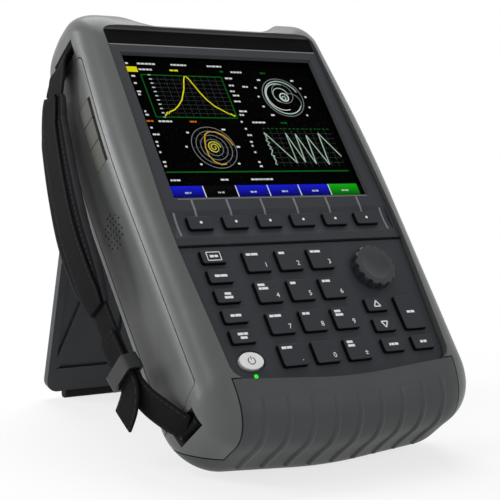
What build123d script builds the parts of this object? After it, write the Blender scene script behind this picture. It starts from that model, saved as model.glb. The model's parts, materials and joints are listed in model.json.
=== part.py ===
"""Handheld network analyser: keypad and knob on the face, fold-out stand behind, hand strap at the left."""

from build123d import *
import math
import os

# Millimetres and degrees. The case is drawn on its back: X to the right, Y up the face, Z out of the face.
# The display centre is the origin and the display bezel's front is the plane Z = 0.

# Display
DISPLAY_WIDTH = 132.5
DISPLAY_HEIGHT = 99.4
DISPLAY_MARGIN = 1.0
DISPLAY_BEVEL = 1.4
WINDOW_LAP = 2.0
WINDOW_DEPTH = 1.8
WINDOW_THICKNESS = 1.6
WINDOW_GAP = 0.2
LCD_LAP = 2.8
LCD_THICKNESS = 5.5

# Face panels, from the display outwards
FACE_BORDER = 13.25
PANEL_TOP_RISE = 21.3
PANEL_TOP_DRAW = 4.0
PANEL_FOOT_DROP = 11.4
PANEL_FOOT_DRAW = 6.0
PANEL_WAIST_RISE = 8.3
PANEL_SAG = 5.7
PANEL_CROWN = 300.0
PANEL_TOP_CORNER = 6.0
PANEL_FOOT_CORNER = 9.0
PANEL_SIDE_RADIUS = 450.0
PANEL_THICKNESS = 4.0
PANEL_GAP = 0.2
KEYPAD_STEP = 1.0
KEYPAD_GAP = 0.8
SPLIT_DROP = 14.3
SPLIT_GAP = 1.4
LIP_DROP = 1.6

# Case
BODY_DEPTH = 64.5
RAIL_WIDTH = 14.5
RAIL_PROUD = 3.0
RAIL_RADIUS = 19.0
BACK_RADIUS = 12.5
FRONT_TURNS = (0, 9, 18, 34, 50, 68, 90)
BACK_TURNS = (90, 68, 50, 34, 18, 0)
DECK_RISE = 5.0
DECK_RADIUS = 10.0
DECK_FILLET = 8.0
WAIST_RISE = 55.8
WAIST_REACH = 38.0
TOP_TAPER = 7.4
FOOT_TAPER = 3.5
BOTTOM_DROP = 35.9
BOTTOM_SAG = 6.8
BOTTOM_CROWN = 300.0
TOE_RADIUS = 22.0
HEEL_RADIUS = 20.7
CORNER_RADIUS = 27.7
LOBE_RISE = 16.5
LOBE_ROUND_SHARE = 0.45
LOBE_WIDTH = 34.0
LOBE_RAMP = 12.0
LOBE_LIP = 0.8
LOBE_CORNER = 14.0
LOBE_SHOULDER = 10.0
SEAM_GAP = 0.5
SEAM_TOP_DROP = 19.0
SEAM_TOP_DEPTH = 11.0
SEAM_FOOT_RISE = 5.0
SEAM_FOOT_DEPTH = 9.0
SEAM_CORNER = 8.0
SEAM_SWEEP = 21.0
SEAM_ROUND = 4.0
FRAME_WALL = 2.5
GROOVE_WIDTH = 0.8
GROOVE_DEPTH = 0.8

# Hollow inside the case
CAVITY_WALL = 12.0
CAVITY_TOP_DROP = 1.0
CAVITY_FOOT_RISE = 10.0
CAVITY_BACK_WALL = 7.5
CAVITY_BACK_RADIUS = 10.0
LEDGE_WIDTH = 3.0
LEDGE_THICKNESS = 4.0

# Plain strip above the display
STRIP_RISE = 13.8
STRIP_MARGIN = 1.5
STRIP_HEIGHT = 10.2
STRIP_CORNER = 1.0
STRIP_THICKNESS = 0.8
STRIP_POCKET = 0.6
STRIP_GAP = 0.15

# Softkeys in their trough
TROUGH_RADIUS = 40.0
TROUGH_DEPTH = 1.0
TROUGH_MARGIN = 3.5
SOFTKEY_COUNT = 6
SOFTKEY_SHARE = 0.17442
SOFTKEY_DROP = 19.3
SOFTKEY_SIZE = (16.0, 8.4)

# Keypad
FUNCTION_COUNT = 5
FUNCTION_MARGIN = 15.8
FUNCTION_DROP = 7.76
FUNCTION_SIZE = (15.4, 8.4)
NUMBER_STEP = 27.0
NUMBER_DROP = 12.1
NUMBER_PITCH_X = 21.85
NUMBER_PITCH_Y = 19.74
NUMBER_SIZE = (16.0, 13.4)
NUMBER_NAMES = (("1", "2", "3"), ("4", "5", "6"), ("7", "8", "9"), ("point", "0", "sign"))
ARROW_STEP = 25.3
ARROW_DROP = 23.8
ARROW_PITCH = 13.2
ENTER_STEP = 21.7
ENTER_WIDTH = 15.4
LOW_KEY_RISE = 11.9
SMALL_SIZE = (14.8, 8.6)
POWER_SHIFT = 0.3
POWER_RISE = 10.6
POWER_SPACE = 14.4
POWER_RADII = (7.6, 5.2)
POWER_PROUD = 1.2
POWER_RING = 1.5
POWER_RING_DEPTH = 0.6
KEY_CORNER = 1.3
KEY_EDGE = 0.5
KEY_PROUD = 2.4
KEY_CLEARANCE = 0.3
KEY_FLANGE = 0.8
KEY_FLANGE_THICKNESS = 0.8
KEY_FLANGE_DROP = 0.2
KEY_TRAVEL = 1.0

# Status lamp
LED_DROP = 8.9
LED_RADIUS = 1.2
LED_CLEARANCE = 0.1
LED_PROUD = 0.5

# Knob and encoder
KNOB_DROP = 20.7
KNOB_SHIFT = -2.6
KNOB_RADIUS = 13.4
KNOB_HEIGHT = 5.6
KNOB_LIFT = 0.4
KNOB_DISH_RADIUS = 34.0
KNOB_DISH_DEPTH = 1.3
KNOB_FLUTES = 14
KNOB_FLUTE_RADIUS = 1.9
KNOB_FLUTE_DEPTH = 1.0
KNOB_EDGE = 1.2
STEM_RADIUS = 3.0
STEM_CLEARANCE = 0.05
STEM_LENGTH = 5.6
BUSHING_RADIUS = 5.0
BUSHING_CLEARANCE = 0.3
BUSHING_PROUD = 1.0
ENCODER_SIDE = 15.0
ENCODER_CORNER = 1.0

# Boards and modules
MAT_GAP = 0.3
MAT_MARGIN = 6.0
MAT_RISE = 7.0
MAT_FOOT_RISE = 8.0
BOARD_THICKNESS = 1.6
BOARD_MARGIN = 2.0
BOARD_RISE = 9.0
MAIN_BOARD_DROP = 2.4
MAIN_BOARD_GAP = 0.3
MAIN_BOARD_TOP_DROP = 4.0
MAIN_BOARD_FOOT_RISE = 6.0
RF_MODULE = (76.0, 70.0, 24.0)
RF_MODULE_X = -20.0
RF_MODULE_DROP = 6.0
RF_EDGE = 2.0

# Battery behind its door in the right side
BATTERY_WIDTH = 62.0
BATTERY_HEIGHT = 92.0
BATTERY_THICKNESS = 17.5
BATTERY_DROP = 31.0
BATTERY_BOARD_GAP = 1.6
BATTERY_CLEARANCE = 0.3
BATTERY_EDGE = 2.0
BATTERY_DOOR_MARGIN = 4.0

# Flaps in the case sides
DOOR_TOP_DROP = 28.5
DOOR_HEIGHTS = (13.3, 15.2, 16.0)
DOOR_FRONT_DEPTH = 12.5
DOOR_WIDTH = 15.5
DOOR_DEPTH = 3.5
DOOR_GAP = 0.3
DOOR_FRONT_GAP = 1.3
DOOR_RABBET = 2.6
DOOR_RABBET_DEPTH = 2.2
JACK_WIDTH = 10.4
JACK_HEIGHT = 8.0
JACK_RECESS = 0.6
JACK_CLEARANCE = 0.3
JACK_LENGTH = 14.0
JACK_WALL = 1.2
JACK_SOCKET_DEPTH = 8.0
JACK_BOARD = 1.6

# Loudspeaker and its grille in the left side
GRILLE_DROP = 37.0
GRILLE_HOLE = 0.75
GRILLE_PITCH = 3.7
GRILLE_RADIUS = 10.7
SPEAKER_RADIUS = 11.5
SPEAKER_DEPTH = 6.0
SPEAKER_MARGIN = 2.0
SPEAKER_GAP = 0.5

# Connectors on the top deck
PORT_MARGIN = 62.0
PORT_THREAD_RADIUS = 7.94
PORT_THREAD_LENGTH = 10.0
PORT_FLANGE = 21.0
PORT_FLANGE_THICKNESS = 3.0
PORT_NUT_RADIUS = 9.6
PORT_NUT_LENGTH = 3.0
PORT_BORE_RADIUS = 5.6
PORT_BORE_DEPTH = 8.6
PORT_PIN_RADIUS = 1.6
PORT_PIN_LENGTH = 6.4
PORT_STUB_RADIUS = 6.0
PORT_STUB_LENGTH = 8.0
AUX_X = 9.0
AUX_THREAD_RADIUS = 3.175
AUX_THREAD_LENGTH = 7.0
AUX_NUT_RADIUS = 4.6
AUX_NUT_LENGTH = 2.4
AUX_BORE_RADIUS = 2.1
AUX_BORE_DEPTH = 5.0
AUX_STUB_LENGTH = 7.0
DECK_SEAT_GAP = 0.5

# Ribbed bumper on the bottom end
BUMPER_OVERHANG = 1.0
BUMPER_FLARE = 2.5
BUMPER_GAP = 0.8
SOLE_HEIGHT = 14.0
RIB_PITCH = 15.0
RIB_COUNT = 9
RIB_WIDTH = 5.0
RIB_PROUD = 1.2
RIB_FADE = 0.7
RIB_TOP_DROP = 3.0
REST_FLAT = 0.4

# Stand
STAND_MARGIN = 15.5
STAND_LENGTH = 174.2
STAND_THICKNESS = 5.0
STAND_OPEN = 52.0
STAND_PIN_DROP = 22.0
STAND_PIN_DEPTH = 1.0
STAND_PIN_RADIUS = 2.0
STAND_PIN_CLEARANCE = 0.05
STAND_BARREL_RADIUS = 4.0
STAND_BARREL_MARGIN = 18.2
STAND_LUG_WIDTH = 5.4
STAND_LUG_GAP = 0.4
STAND_POCKET_GAP = 0.5
STAND_FLOOR_GAP = 0.3
STAND_SHOULDER = 9.0
STAND_CORNER = 14.0
STAND_RIM = 5.0
STAND_RECESS = 2.0
STAND_HEAD = 16.0
STAND_FOOT_BAR = 22.0
STAND_SPINE_HALF = 30.0
STAND_RIB_WIDTH = 4.0
STAND_RIB_DROP = 0.5
FOOT_RADIUS = 3.0
FOOT_REACH = 6.0

# Case screws in the back
SCREW_MARGIN = 54.0
SCREW_TOP_DROP = 5.5
SCREW_FOOT_RISE = 13.0
SCREW_HEAD_RADIUS = 3.2
SCREW_HEAD_DEPTH = 2.4
SCREW_SHANK_RADIUS = 1.6
SCREW_SHANK_LENGTH = 4.5
SCREW_SLOT_RADIUS = 1.5
SCREW_SLOT_DEPTH = 1.2

# Hand strap: bars in the case, and bands through stations chosen by eye. A station is its share of the way
# from the top bar to the low bar, how far it stands out from the side, how far it lies behind mid-depth,
# its width and its thickness.
STRAP_BAR_RADIUS = 1.6
STRAP_BAR_CLEARANCE = 0.2
STRAP_EYE_WALL = 1.4
STRAP_SLOT_HALF = 5.4
STRAP_BAR_ROOT = 3.0
TOP_BAR_DROP = 8.0
TOP_BAR_INSET = 2.6
TOP_BAR_REACH = (-13.0, 13.5)
TOP_EYE_WIDTH = 24.0
LOW_BAR_DROP = 9.5
LOW_BAR_INSET = 3.0
LOW_BAR_REACH = (-14.0, 12.0)
LOW_EYE_WIDTH = 20.0
WEB_THICKNESS = 2.0
WEB_ROUND = 0.9
PAD_ROUND = 2.0
BAND_ROUND_SHARE = 0.45
PAD_STATIONS = (
    (0.088, 3.6, 9.0, 29.0, 4.6),
    (0.150, 5.6, 15.4, 32.0, 5.2),
    (0.184, 7.0, 16.6, 34.0, 5.4),
    (0.317, 11.4, 17.6, 36.0, 5.8),
    (0.455, 15.2, 17.0, 36.0, 5.8),
    (0.576, 15.8, 16.0, 32.0, 5.4),
    (0.660, 14.5, 16.0, 21.0, 4.6),
)
TOP_WEB_STATIONS = (
    (0.025, -0.5, -0.5, 24.4, WEB_THICKNESS),
    (0.058, 1.9, 4.0, 26.0, WEB_THICKNESS),
    (0.085, 3.4, 8.6, 27.0, WEB_THICKNESS),
)
LOW_WEB_STATIONS = (
    (0.664, 14.4, 16.0, 18.0, WEB_THICKNESS),
    (0.735, 13.2, 16.0, 18.0, WEB_THICKNESS),
    (0.827, 11.2, 15.0, 18.0, WEB_THICKNESS),
    (0.902, 7.2, 12.0, 19.0, WEB_THICKNESS),
    (0.972, 0.5, 4.0, 20.0, WEB_THICKNESS),
)
TAIL_STATIONS = (
    (0.735, 15.8, 16.0, 17.6, WEB_THICKNESS),
    (0.827, 13.8, 15.0, 17.6, WEB_THICKNESS),
    (0.864, 12.5, 15.2, 17.6, WEB_THICKNESS),
    (0.891, 12.2, 21.0, 17.6, WEB_THICKNESS),
    (0.910, 12.0, 33.0, 17.6, WEB_THICKNESS),
)
KEEPER_STATION = (0.827, 12.5, 15.0, 18.0, 4.6)
KEEPER_LENGTH = 9.0
KEEPER_WALL = 2.0
KEEPER_CLEARANCE = 0.9

# Worked out from the sizes above: the face across
PANEL_WAIST_HALF = DISPLAY_WIDTH / 2 + FACE_BORDER
PANEL_TOP_HALF = PANEL_WAIST_HALF - PANEL_TOP_DRAW
PANEL_FOOT_HALF = PANEL_WAIST_HALF - PANEL_FOOT_DRAW
HALF_WIDTH = PANEL_WAIST_HALF + RAIL_WIDTH
CAVITY_HALF = HALF_WIDTH - CAVITY_WALL
PORT_X = HALF_WIDTH - PORT_MARGIN
SCREW_X = HALF_WIDTH - SCREW_MARGIN
BUMPER_HALF = PANEL_FOOT_HALF + BUMPER_OVERHANG
STRIP_WIDTH = 2 * (PANEL_TOP_HALF - STRIP_MARGIN)
TROUGH_HALF = PANEL_WAIST_HALF - TROUGH_MARGIN
SOFTKEY_PITCH = DISPLAY_WIDTH * SOFTKEY_SHARE
FUNCTION_X = FUNCTION_MARGIN - PANEL_FOOT_HALF
NUMBER_X = FUNCTION_X + NUMBER_STEP
ARROW_X = NUMBER_X + (len(NUMBER_NAMES[0]) - 1) * NUMBER_PITCH_X + ARROW_STEP
ENTER_X = ARROW_X + ENTER_STEP
KNOB_X = (ARROW_X + ENTER_X) / 2 + KNOB_SHIFT
POWER_X = FUNCTION_X + POWER_SHIFT

# The face from top to bottom
PANEL_TOP_Y = DISPLAY_HEIGHT / 2 + PANEL_TOP_RISE
STRIP_Y = DISPLAY_HEIGHT / 2 + STRIP_RISE
DECK_Y = PANEL_TOP_Y + DECK_RISE
LOBE_TOP_Y = DECK_Y + LOBE_RISE
SEAM_TOP_Y = DECK_Y - SEAM_TOP_DROP
SOFTKEY_Y = -DISPLAY_HEIGHT / 2 - SOFTKEY_DROP
WAIST_Y = SOFTKEY_Y + WAIST_RISE
SPLIT_Y = SOFTKEY_Y - SPLIT_DROP
PANEL_WAIST_Y = SPLIT_Y + PANEL_WAIST_RISE
NUMBER_Y = SPLIT_Y - NUMBER_DROP
PANEL_FOOT_Y = NUMBER_Y - (len(NUMBER_NAMES) - 1) * NUMBER_PITCH_Y - PANEL_FOOT_DROP
FUNCTION_Y = SPLIT_Y - FUNCTION_DROP
POWER_Y = PANEL_FOOT_Y + POWER_RISE
FUNCTION_PITCH = (FUNCTION_Y - POWER_Y - POWER_SPACE) / (FUNCTION_COUNT - 1)
KNOB_Y = SPLIT_Y - KNOB_DROP
ARROW_UP_Y = KNOB_Y - ARROW_DROP
ARROW_DOWN_Y = ARROW_UP_Y - ARROW_PITCH
LOW_KEY_Y = PANEL_FOOT_Y + LOW_KEY_RISE
ENTER_Y = (ARROW_UP_Y + ARROW_DOWN_Y) / 2
ENTER_SIZE = (ENTER_WIDTH, ARROW_PITCH + SMALL_SIZE[1])
LED_Y = POWER_Y - LED_DROP
BOTTOM_Y = PANEL_FOOT_Y - BOTTOM_DROP
BOTTOM_TURN = math.atan2(BOTTOM_SAG, HALF_WIDTH - FOOT_TAPER)
CROWN_RISE = BOTTOM_CROWN / math.cos(BOTTOM_TURN) - BOTTOM_CROWN
HEEL_Y = BOTTOM_Y + CROWN_RISE + HEEL_RADIUS
TOE_Y = BOTTOM_Y + TOE_RADIUS
SEAM_FOOT_Y = PANEL_FOOT_Y + SEAM_FOOT_RISE
CAVITY_TOP_Y = PANEL_TOP_Y - CAVITY_TOP_DROP
CAVITY_FOOT_Y = PANEL_FOOT_Y + CAVITY_FOOT_RISE

# Heights through the case
FRONT_Z = RAIL_PROUD
BACK_Z = FRONT_Z - BODY_DEPTH
MIDDLE_Z = FRONT_Z - BODY_DEPTH / 2
LOBE_RADIUS = BODY_DEPTH * LOBE_ROUND_SHARE
HEEL_Z = BACK_Z + HEEL_RADIUS
TOE_Z = FRONT_Z - TOE_RADIUS
GROOVE_Z = BACK_Z + BACK_RADIUS
LEDGE_Z = -PANEL_THICKNESS
LEDGE_BACK_Z = LEDGE_Z - LEDGE_THICKNESS
CAVITY_BACK_Z = BACK_Z + CAVITY_BACK_WALL
KEYPAD_Z = -KEYPAD_STEP
KEY_BASE_Z = LEDGE_Z - KEY_FLANGE_DROP - KEY_FLANGE_THICKNESS
MAT_Z = KEY_BASE_Z - KEY_TRAVEL - MAT_GAP
BOARD_Z = LEDGE_BACK_Z
MAIN_BOARD_Z = BOARD_Z - BOARD_THICKNESS - MAIN_BOARD_DROP
BATTERY_FRONT_Z = MAIN_BOARD_Z - BOARD_THICKNESS - BATTERY_BOARD_GAP
BATTERY_BACK_Z = BATTERY_FRONT_Z - BATTERY_THICKNESS
BATTERY_Y = SEAM_TOP_Y - BATTERY_DROP - BATTERY_HEIGHT / 2
DOOR_TOP_Y = SEAM_TOP_Y - DOOR_TOP_DROP
DOOR_FOOT_Y = DOOR_TOP_Y - sum(DOOR_HEIGHTS)
DOOR_FRONT_Z = -DOOR_FRONT_DEPTH
DOOR_BACK_Z = DOOR_FRONT_Z - DOOR_WIDTH
GRILLE_Y = DOOR_FOOT_Y - GRILLE_DROP
GRILLE_Z = CAVITY_BACK_Z + CAVITY_BACK_RADIUS + SPEAKER_RADIUS + SPEAKER_MARGIN

# Stand and strap
STAND_HALF = HALF_WIDTH - STAND_MARGIN
STAND_BARREL_HALF = STAND_HALF - STAND_BARREL_MARGIN
STAND_PIN_Y = SEAM_TOP_Y - STAND_PIN_DROP
STAND_PIN_Z = BACK_Z + STAND_PIN_DEPTH
STAND_FLOOR_Z = STAND_PIN_Z + max(STAND_THICKNESS / 2, FOOT_RADIUS) + STAND_FLOOR_GAP
LUG_INNER = STAND_BARREL_HALF + STAND_LUG_GAP
LUG_OUTER = LUG_INNER + STAND_LUG_WIDTH
TOP_BAR_Y = DECK_Y - TOP_BAR_DROP
LOW_BAR_Y = PANEL_FOOT_Y - LOW_BAR_DROP
BIG = 400.0
CUT_OVER = 1.0


def side_half(y):
    """Half width of the case at its widest level, between the end corners."""
    if y > WAIST_Y:
        return HALF_WIDTH - TOP_TAPER * (y - WAIST_Y) / (LOBE_TOP_Y - WAIST_Y)
    return HALF_WIDTH - FOOT_TAPER * (WAIST_Y - y) / (WAIST_Y - BOTTOM_Y - BOTTOM_SAG)


def corner_half(y):
    """Half width of the case at its widest level, round a bottom corner."""
    centre_x = HALF_WIDTH - FOOT_TAPER - CORNER_RADIUS
    centre_y = BOTTOM_Y + BOTTOM_SAG + CORNER_RADIUS
    return centre_x + math.sqrt(CORNER_RADIUS**2 - (y - centre_y) ** 2)


TOP_BAR = (TOP_BAR_INSET - side_half(TOP_BAR_Y), TOP_BAR_Y)
TOP_BAR_Z = (MIDDLE_Z + TOP_BAR_REACH[0], MIDDLE_Z + TOP_BAR_REACH[1])
LOW_BAR = (LOW_BAR_INSET - corner_half(LOW_BAR_Y), LOW_BAR_Y)
LOW_BAR_Z = (MIDDLE_Z + LOW_BAR_REACH[0], MIDDLE_Z + LOW_BAR_REACH[1])
EYE_MIDDLE = STRAP_BAR_RADIUS + STRAP_BAR_CLEARANCE + STRAP_EYE_WALL / 2


def recline_angle():
    """Lean of the face from upright when the heel and the open stand's foot share one floor."""
    reach = STAND_LENGTH - FOOT_RADIUS
    open_angle = math.radians(STAND_OPEN)
    foot_y = STAND_PIN_Y - reach * math.cos(open_angle)
    foot_z = STAND_PIN_Z - reach * math.sin(open_angle)
    span = math.hypot(foot_y - HEEL_Y, foot_z - HEEL_Z)
    bearing = math.atan2(foot_z - HEEL_Z, foot_y - HEEL_Y)
    return bearing + math.acos(-(HEEL_RADIUS - FOOT_RADIUS) / span)


RECLINE = recline_angle()
FLOOR_HEIGHT = HEEL_Y * math.cos(RECLINE) + HEEL_Z * math.sin(RECLINE) - HEEL_RADIUS + REST_FLAT


def block(x, y, z):
    """Box between pairs of limits."""
    size = [abs(pair[1] - pair[0]) for pair in (x, y, z)]
    centre = [(pair[1] + pair[0]) / 2 for pair in (x, y, z)]
    return Pos(*centre) * Box(*size)


def plate(width, height, radius, at, z):
    """Flat rounded rectangle between two heights, centred on a point of the face."""
    return extrude(Pos(at[0], at[1], z[0]) * RectangleRounded(width, height, radius), z[1] - z[0])


def rod(radius, start, end):
    """Round bar between two points."""
    run = Vector(*end) - Vector(*start)
    return extrude(Plane(start, z_dir=run) * Circle(radius), run.length)


def edge_inset(level, front_radius, back_radius):
    """How far a rounded front or back edge has drawn in at a height."""
    rise = max(level - (FRONT_Z - front_radius), 0)
    fall = max(BACK_Z + back_radius - level, 0)
    front = front_radius - math.sqrt(max(front_radius**2 - rise**2, 0))
    back = back_radius - math.sqrt(max(back_radius**2 - fall**2, 0))
    return front + back


def case_outline(level):
    """Outline of the case at a height: bowed sides, round bottom corners and two raised top corners."""
    half = HALF_WIDTH - edge_inset(level, RAIL_RADIUS, BACK_RADIUS)
    share = half / HALF_WIDTH
    deck = DECK_Y - edge_inset(level, DECK_RADIUS, DECK_RADIUS)
    lobe = max(deck + LOBE_LIP, LOBE_TOP_Y - edge_inset(level, LOBE_RADIUS, LOBE_RADIUS))
    bottom = BOTTOM_Y + edge_inset(level, TOE_RADIUS, HEEL_RADIUS)
    foot = bottom + BOTTOM_SAG * share
    waist_turn = math.atan2(TOP_TAPER, lobe - WAIST_Y) + math.atan2(FOOT_TAPER, WAIST_Y - foot)
    waist_radius = WAIST_REACH / math.tan(waist_turn / 2)
    right = [
        (half - FOOT_TAPER, foot),
        (half, WAIST_Y),
        (half - TOP_TAPER, lobe),
        (half - LOBE_WIDTH, lobe),
        (half - LOBE_WIDTH - LOBE_RAMP, deck),
    ]
    right_radii = [CORNER_RADIUS * share, waist_radius, LOBE_CORNER, LOBE_SHOULDER, DECK_FILLET]
    left = [(-x, y) for x, y in reversed(right)]
    points = [(x, y, level) for x, y in [(0, bottom), *right, *left]]
    radii = [BOTTOM_CROWN, *right_radii, *reversed(right_radii)]
    return make_face(FilletPolyline(*points, radius=radii, close=True))


def case_levels():
    """Heights of the outlines that the case is drawn through, closest where the edges turn fastest."""
    front = [FRONT_Z - LOBE_RADIUS * (1 - math.cos(math.radians(turn))) for turn in FRONT_TURNS]
    back = [BACK_Z + LOBE_RADIUS * (1 - math.cos(math.radians(turn))) for turn in BACK_TURNS]
    return front + back


def case_body():
    """The whole outer form, solid."""
    return loft([case_outline(level) for level in case_levels()])


def side_profile(points, radii):
    """Slab across the whole width from an outline in Y and Z."""
    outline = FilletPolyline(*[(-BIG / 2, y, z) for y, z in points], radius=radii, close=True)
    return extrude(make_face(outline), BIG, dir=(1, 0, 0))


def rear_zone(grow):
    """Region of the rear shell: behind the side seam, between the front shell's ends, outside its frame."""
    points = [
        (SEAM_TOP_Y + grow, -SEAM_TOP_DEPTH + grow),
        (SEAM_FOOT_Y, -SEAM_FOOT_DEPTH + grow),
        (SEAM_FOOT_Y - SEAM_CORNER - grow, -SEAM_FOOT_DEPTH - SEAM_SWEEP),
        (SEAM_FOOT_Y - SEAM_CORNER - grow, -BIG / 2),
        (SEAM_TOP_Y + grow, -BIG / 2),
    ]
    zone = side_profile(points, [SEAM_ROUND, SEAM_ROUND, SEAM_ROUND, 0, 0])
    lap = SEAM_GAP - grow
    return zone - panel_slab(-FRAME_WALL - lap, (LEDGE_BACK_Z - lap, BIG / 4))


def panel_outline(shrink):
    """Outline of the face panels' opening, drawn in by a margin."""
    right = [
        (PANEL_FOOT_HALF - shrink, PANEL_FOOT_Y + shrink),
        (PANEL_WAIST_HALF - shrink, PANEL_WAIST_Y),
        (PANEL_TOP_HALF - shrink, PANEL_TOP_Y - shrink),
    ]
    left = [(-x, y) for x, y in reversed(right)]
    points = [(0, PANEL_FOOT_Y - PANEL_SAG + shrink), *right, *left]
    right_radii = [PANEL_FOOT_CORNER, PANEL_SIDE_RADIUS, PANEL_TOP_CORNER]
    radii = [PANEL_CROWN, *right_radii, *reversed(right_radii)]
    return make_face(FilletPolyline(*points, radius=radii, close=True))


def panel_slab(shrink, z):
    """Slab with the outline of the face panels."""
    return extrude(Pos(0, 0, z[0]) * panel_outline(shrink), z[1] - z[0])


def bumper_zone(grow):
    """Region of the bumper: between two slanted seams below the face panels, and a sole right across."""
    top = PANEL_FOOT_Y - PANEL_SAG - PANEL_GAP + grow
    shoulder = top + PANEL_SAG * BUMPER_HALF / PANEL_FOOT_HALF
    points = [
        (0, top),
        (BUMPER_HALF + grow, shoulder),
        (BUMPER_HALF - BUMPER_FLARE + grow, BOTTOM_Y - CUT_OVER),
        (-BUMPER_HALF + BUMPER_FLARE - grow, BOTTOM_Y - CUT_OVER),
        (-BUMPER_HALF - grow, shoulder),
    ]
    outline = FilletPolyline(*points, radius=[PANEL_CROWN, 0, 0, 0, 0], close=True)
    front = extrude(Pos(0, 0, -BIG / 2) * make_face(outline), BIG)
    sole = block((-BIG, BIG), (-BIG, BIG), (-BIG, FLOOR_HEIGHT + SOLE_HEIGHT + grow))
    return front + Rot(math.degrees(RECLINE) - 90, 0, 0) * sole


def cavity():
    """Room inside the case for the boards, modules and battery."""
    room = block(
        (-CAVITY_HALF, CAVITY_HALF), (CAVITY_FOOT_Y, CAVITY_TOP_Y), (CAVITY_BACK_Z, LEDGE_BACK_Z)
    )
    back_edges = room.edges().filter_by(Axis.Y).group_by(Axis.Z)[0]
    return fillet(back_edges, CAVITY_BACK_RADIUS)


def key_layout():
    """Every key by name: centre, size and the height of the surface around it."""
    keys = {}
    first = -(SOFTKEY_COUNT - 1) / 2 * SOFTKEY_PITCH
    for index in range(SOFTKEY_COUNT):
        centre = (first + index * SOFTKEY_PITCH, SOFTKEY_Y)
        keys[f"softkey_{index + 1}"] = (centre, SOFTKEY_SIZE, -TROUGH_DEPTH)
    for index in range(FUNCTION_COUNT):
        centre = (FUNCTION_X, FUNCTION_Y - index * FUNCTION_PITCH)
        keys[f"function_key_{index + 1}"] = (centre, FUNCTION_SIZE, KEYPAD_Z)
    for row, names in enumerate(NUMBER_NAMES):
        for column, name in enumerate(names):
            centre = (NUMBER_X + column * NUMBER_PITCH_X, NUMBER_Y - row * NUMBER_PITCH_Y)
            keys[f"key_{name}"] = (centre, NUMBER_SIZE, KEYPAD_Z)
    keys["arrow_up_key"] = ((ARROW_X, ARROW_UP_Y), SMALL_SIZE, KEYPAD_Z)
    keys["arrow_down_key"] = ((ARROW_X, ARROW_DOWN_Y), SMALL_SIZE, KEYPAD_Z)
    keys["enter_key"] = ((ENTER_X, ENTER_Y), ENTER_SIZE, KEYPAD_Z)
    keys["back_key"] = ((ARROW_X, LOW_KEY_Y), SMALL_SIZE, KEYPAD_Z)
    keys["escape_key"] = ((ENTER_X, LOW_KEY_Y), SMALL_SIZE, KEYPAD_Z)
    return keys


KEYS = key_layout()


def key_cap(centre, size, surface):
    """Moulded key with rounded top edges and a flange that holds it behind the panel."""
    top = surface + KEY_PROUD
    flange_top = LEDGE_Z - KEY_FLANGE_DROP
    cap = plate(*size, KEY_CORNER, centre, (flange_top - KEY_FLANGE_THICKNESS, top))
    cap = fillet(cap.faces().sort_by(Axis.Z)[-1].edges(), KEY_EDGE)
    wide, tall = (length + 2 * KEY_FLANGE for length in size)
    return cap + plate(wide, tall, KEY_CORNER, centre, (flange_top - KEY_FLANGE_THICKNESS, flange_top))


def key_holes(names):
    """Openings for a set of keys, right through a panel."""
    holes = []
    for name in names:
        centre, size, _ = KEYS[name]
        wide, tall = (length + 2 * KEY_CLEARANCE for length in size)
        holes.append(plate(wide, tall, KEY_CORNER + KEY_CLEARANCE, centre, (-BIG / 4, BIG / 4)))
    return holes


def oval(grow, z):
    """Oval column of the power button."""
    shape = Ellipse(POWER_RADII[0] + grow, POWER_RADII[1] + grow)
    return extrude(Pos(POWER_X, POWER_Y, z[0]) * shape, z[1] - z[0])


def power_button():
    """Oval button with a rounded top edge and a flange behind the panel."""
    flange_top = LEDGE_Z - KEY_FLANGE_DROP
    cap = oval(0, (flange_top - KEY_FLANGE_THICKNESS, KEYPAD_Z + POWER_PROUD))
    cap = fillet(cap.faces().sort_by(Axis.Z)[-1].edges(), KEY_EDGE)
    return cap + oval(KEY_FLANGE, (flange_top - KEY_FLANGE_THICKNESS, flange_top))


def display_bezel():
    """Upper face panel: display opening, strip pocket, softkey trough and holes."""
    panel = panel_slab(PANEL_GAP, (LEDGE_Z, 0))
    panel -= block((-BIG, BIG), (-BIG, SPLIT_Y + SPLIT_GAP / 2), (-BIG, BIG))
    open_width = DISPLAY_WIDTH + 2 * DISPLAY_MARGIN
    open_height = DISPLAY_HEIGHT + 2 * DISPLAY_MARGIN
    through = (LEDGE_Z - CUT_OVER, CUT_OVER)
    opening = block((-open_width / 2, open_width / 2), (-open_height / 2, open_height / 2), through)
    bevel_base = Pos(0, 0, -DISPLAY_BEVEL) * Rectangle(open_width, open_height)
    bevel_top = Rectangle(open_width + 2 * DISPLAY_BEVEL, open_height + 2 * DISPLAY_BEVEL)
    seat_width = open_width + 2 * WINDOW_LAP + 2 * WINDOW_GAP
    seat_height = open_height + 2 * WINDOW_LAP + 2 * WINDOW_GAP
    seat_z = (LEDGE_Z - CUT_OVER, -WINDOW_DEPTH)
    seat = block((-seat_width / 2, seat_width / 2), (-seat_height / 2, seat_height / 2), seat_z)
    strip_width = STRIP_WIDTH + 2 * STRIP_GAP
    strip_height = STRIP_HEIGHT + 2 * STRIP_GAP
    strip = plate(strip_width, strip_height, STRIP_CORNER, (0, STRIP_Y), (-STRIP_POCKET, CUT_OVER))
    trough_axis = TROUGH_RADIUS - TROUGH_DEPTH
    trough = rod(TROUGH_RADIUS, (-TROUGH_HALF, SOFTKEY_Y, trough_axis), (TROUGH_HALF, SOFTKEY_Y, trough_axis))
    softkeys = key_holes([name for name in KEYS if name.startswith("softkey")])
    return panel - [opening, loft([bevel_base, bevel_top]), seat, strip, trough, *softkeys]


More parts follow.
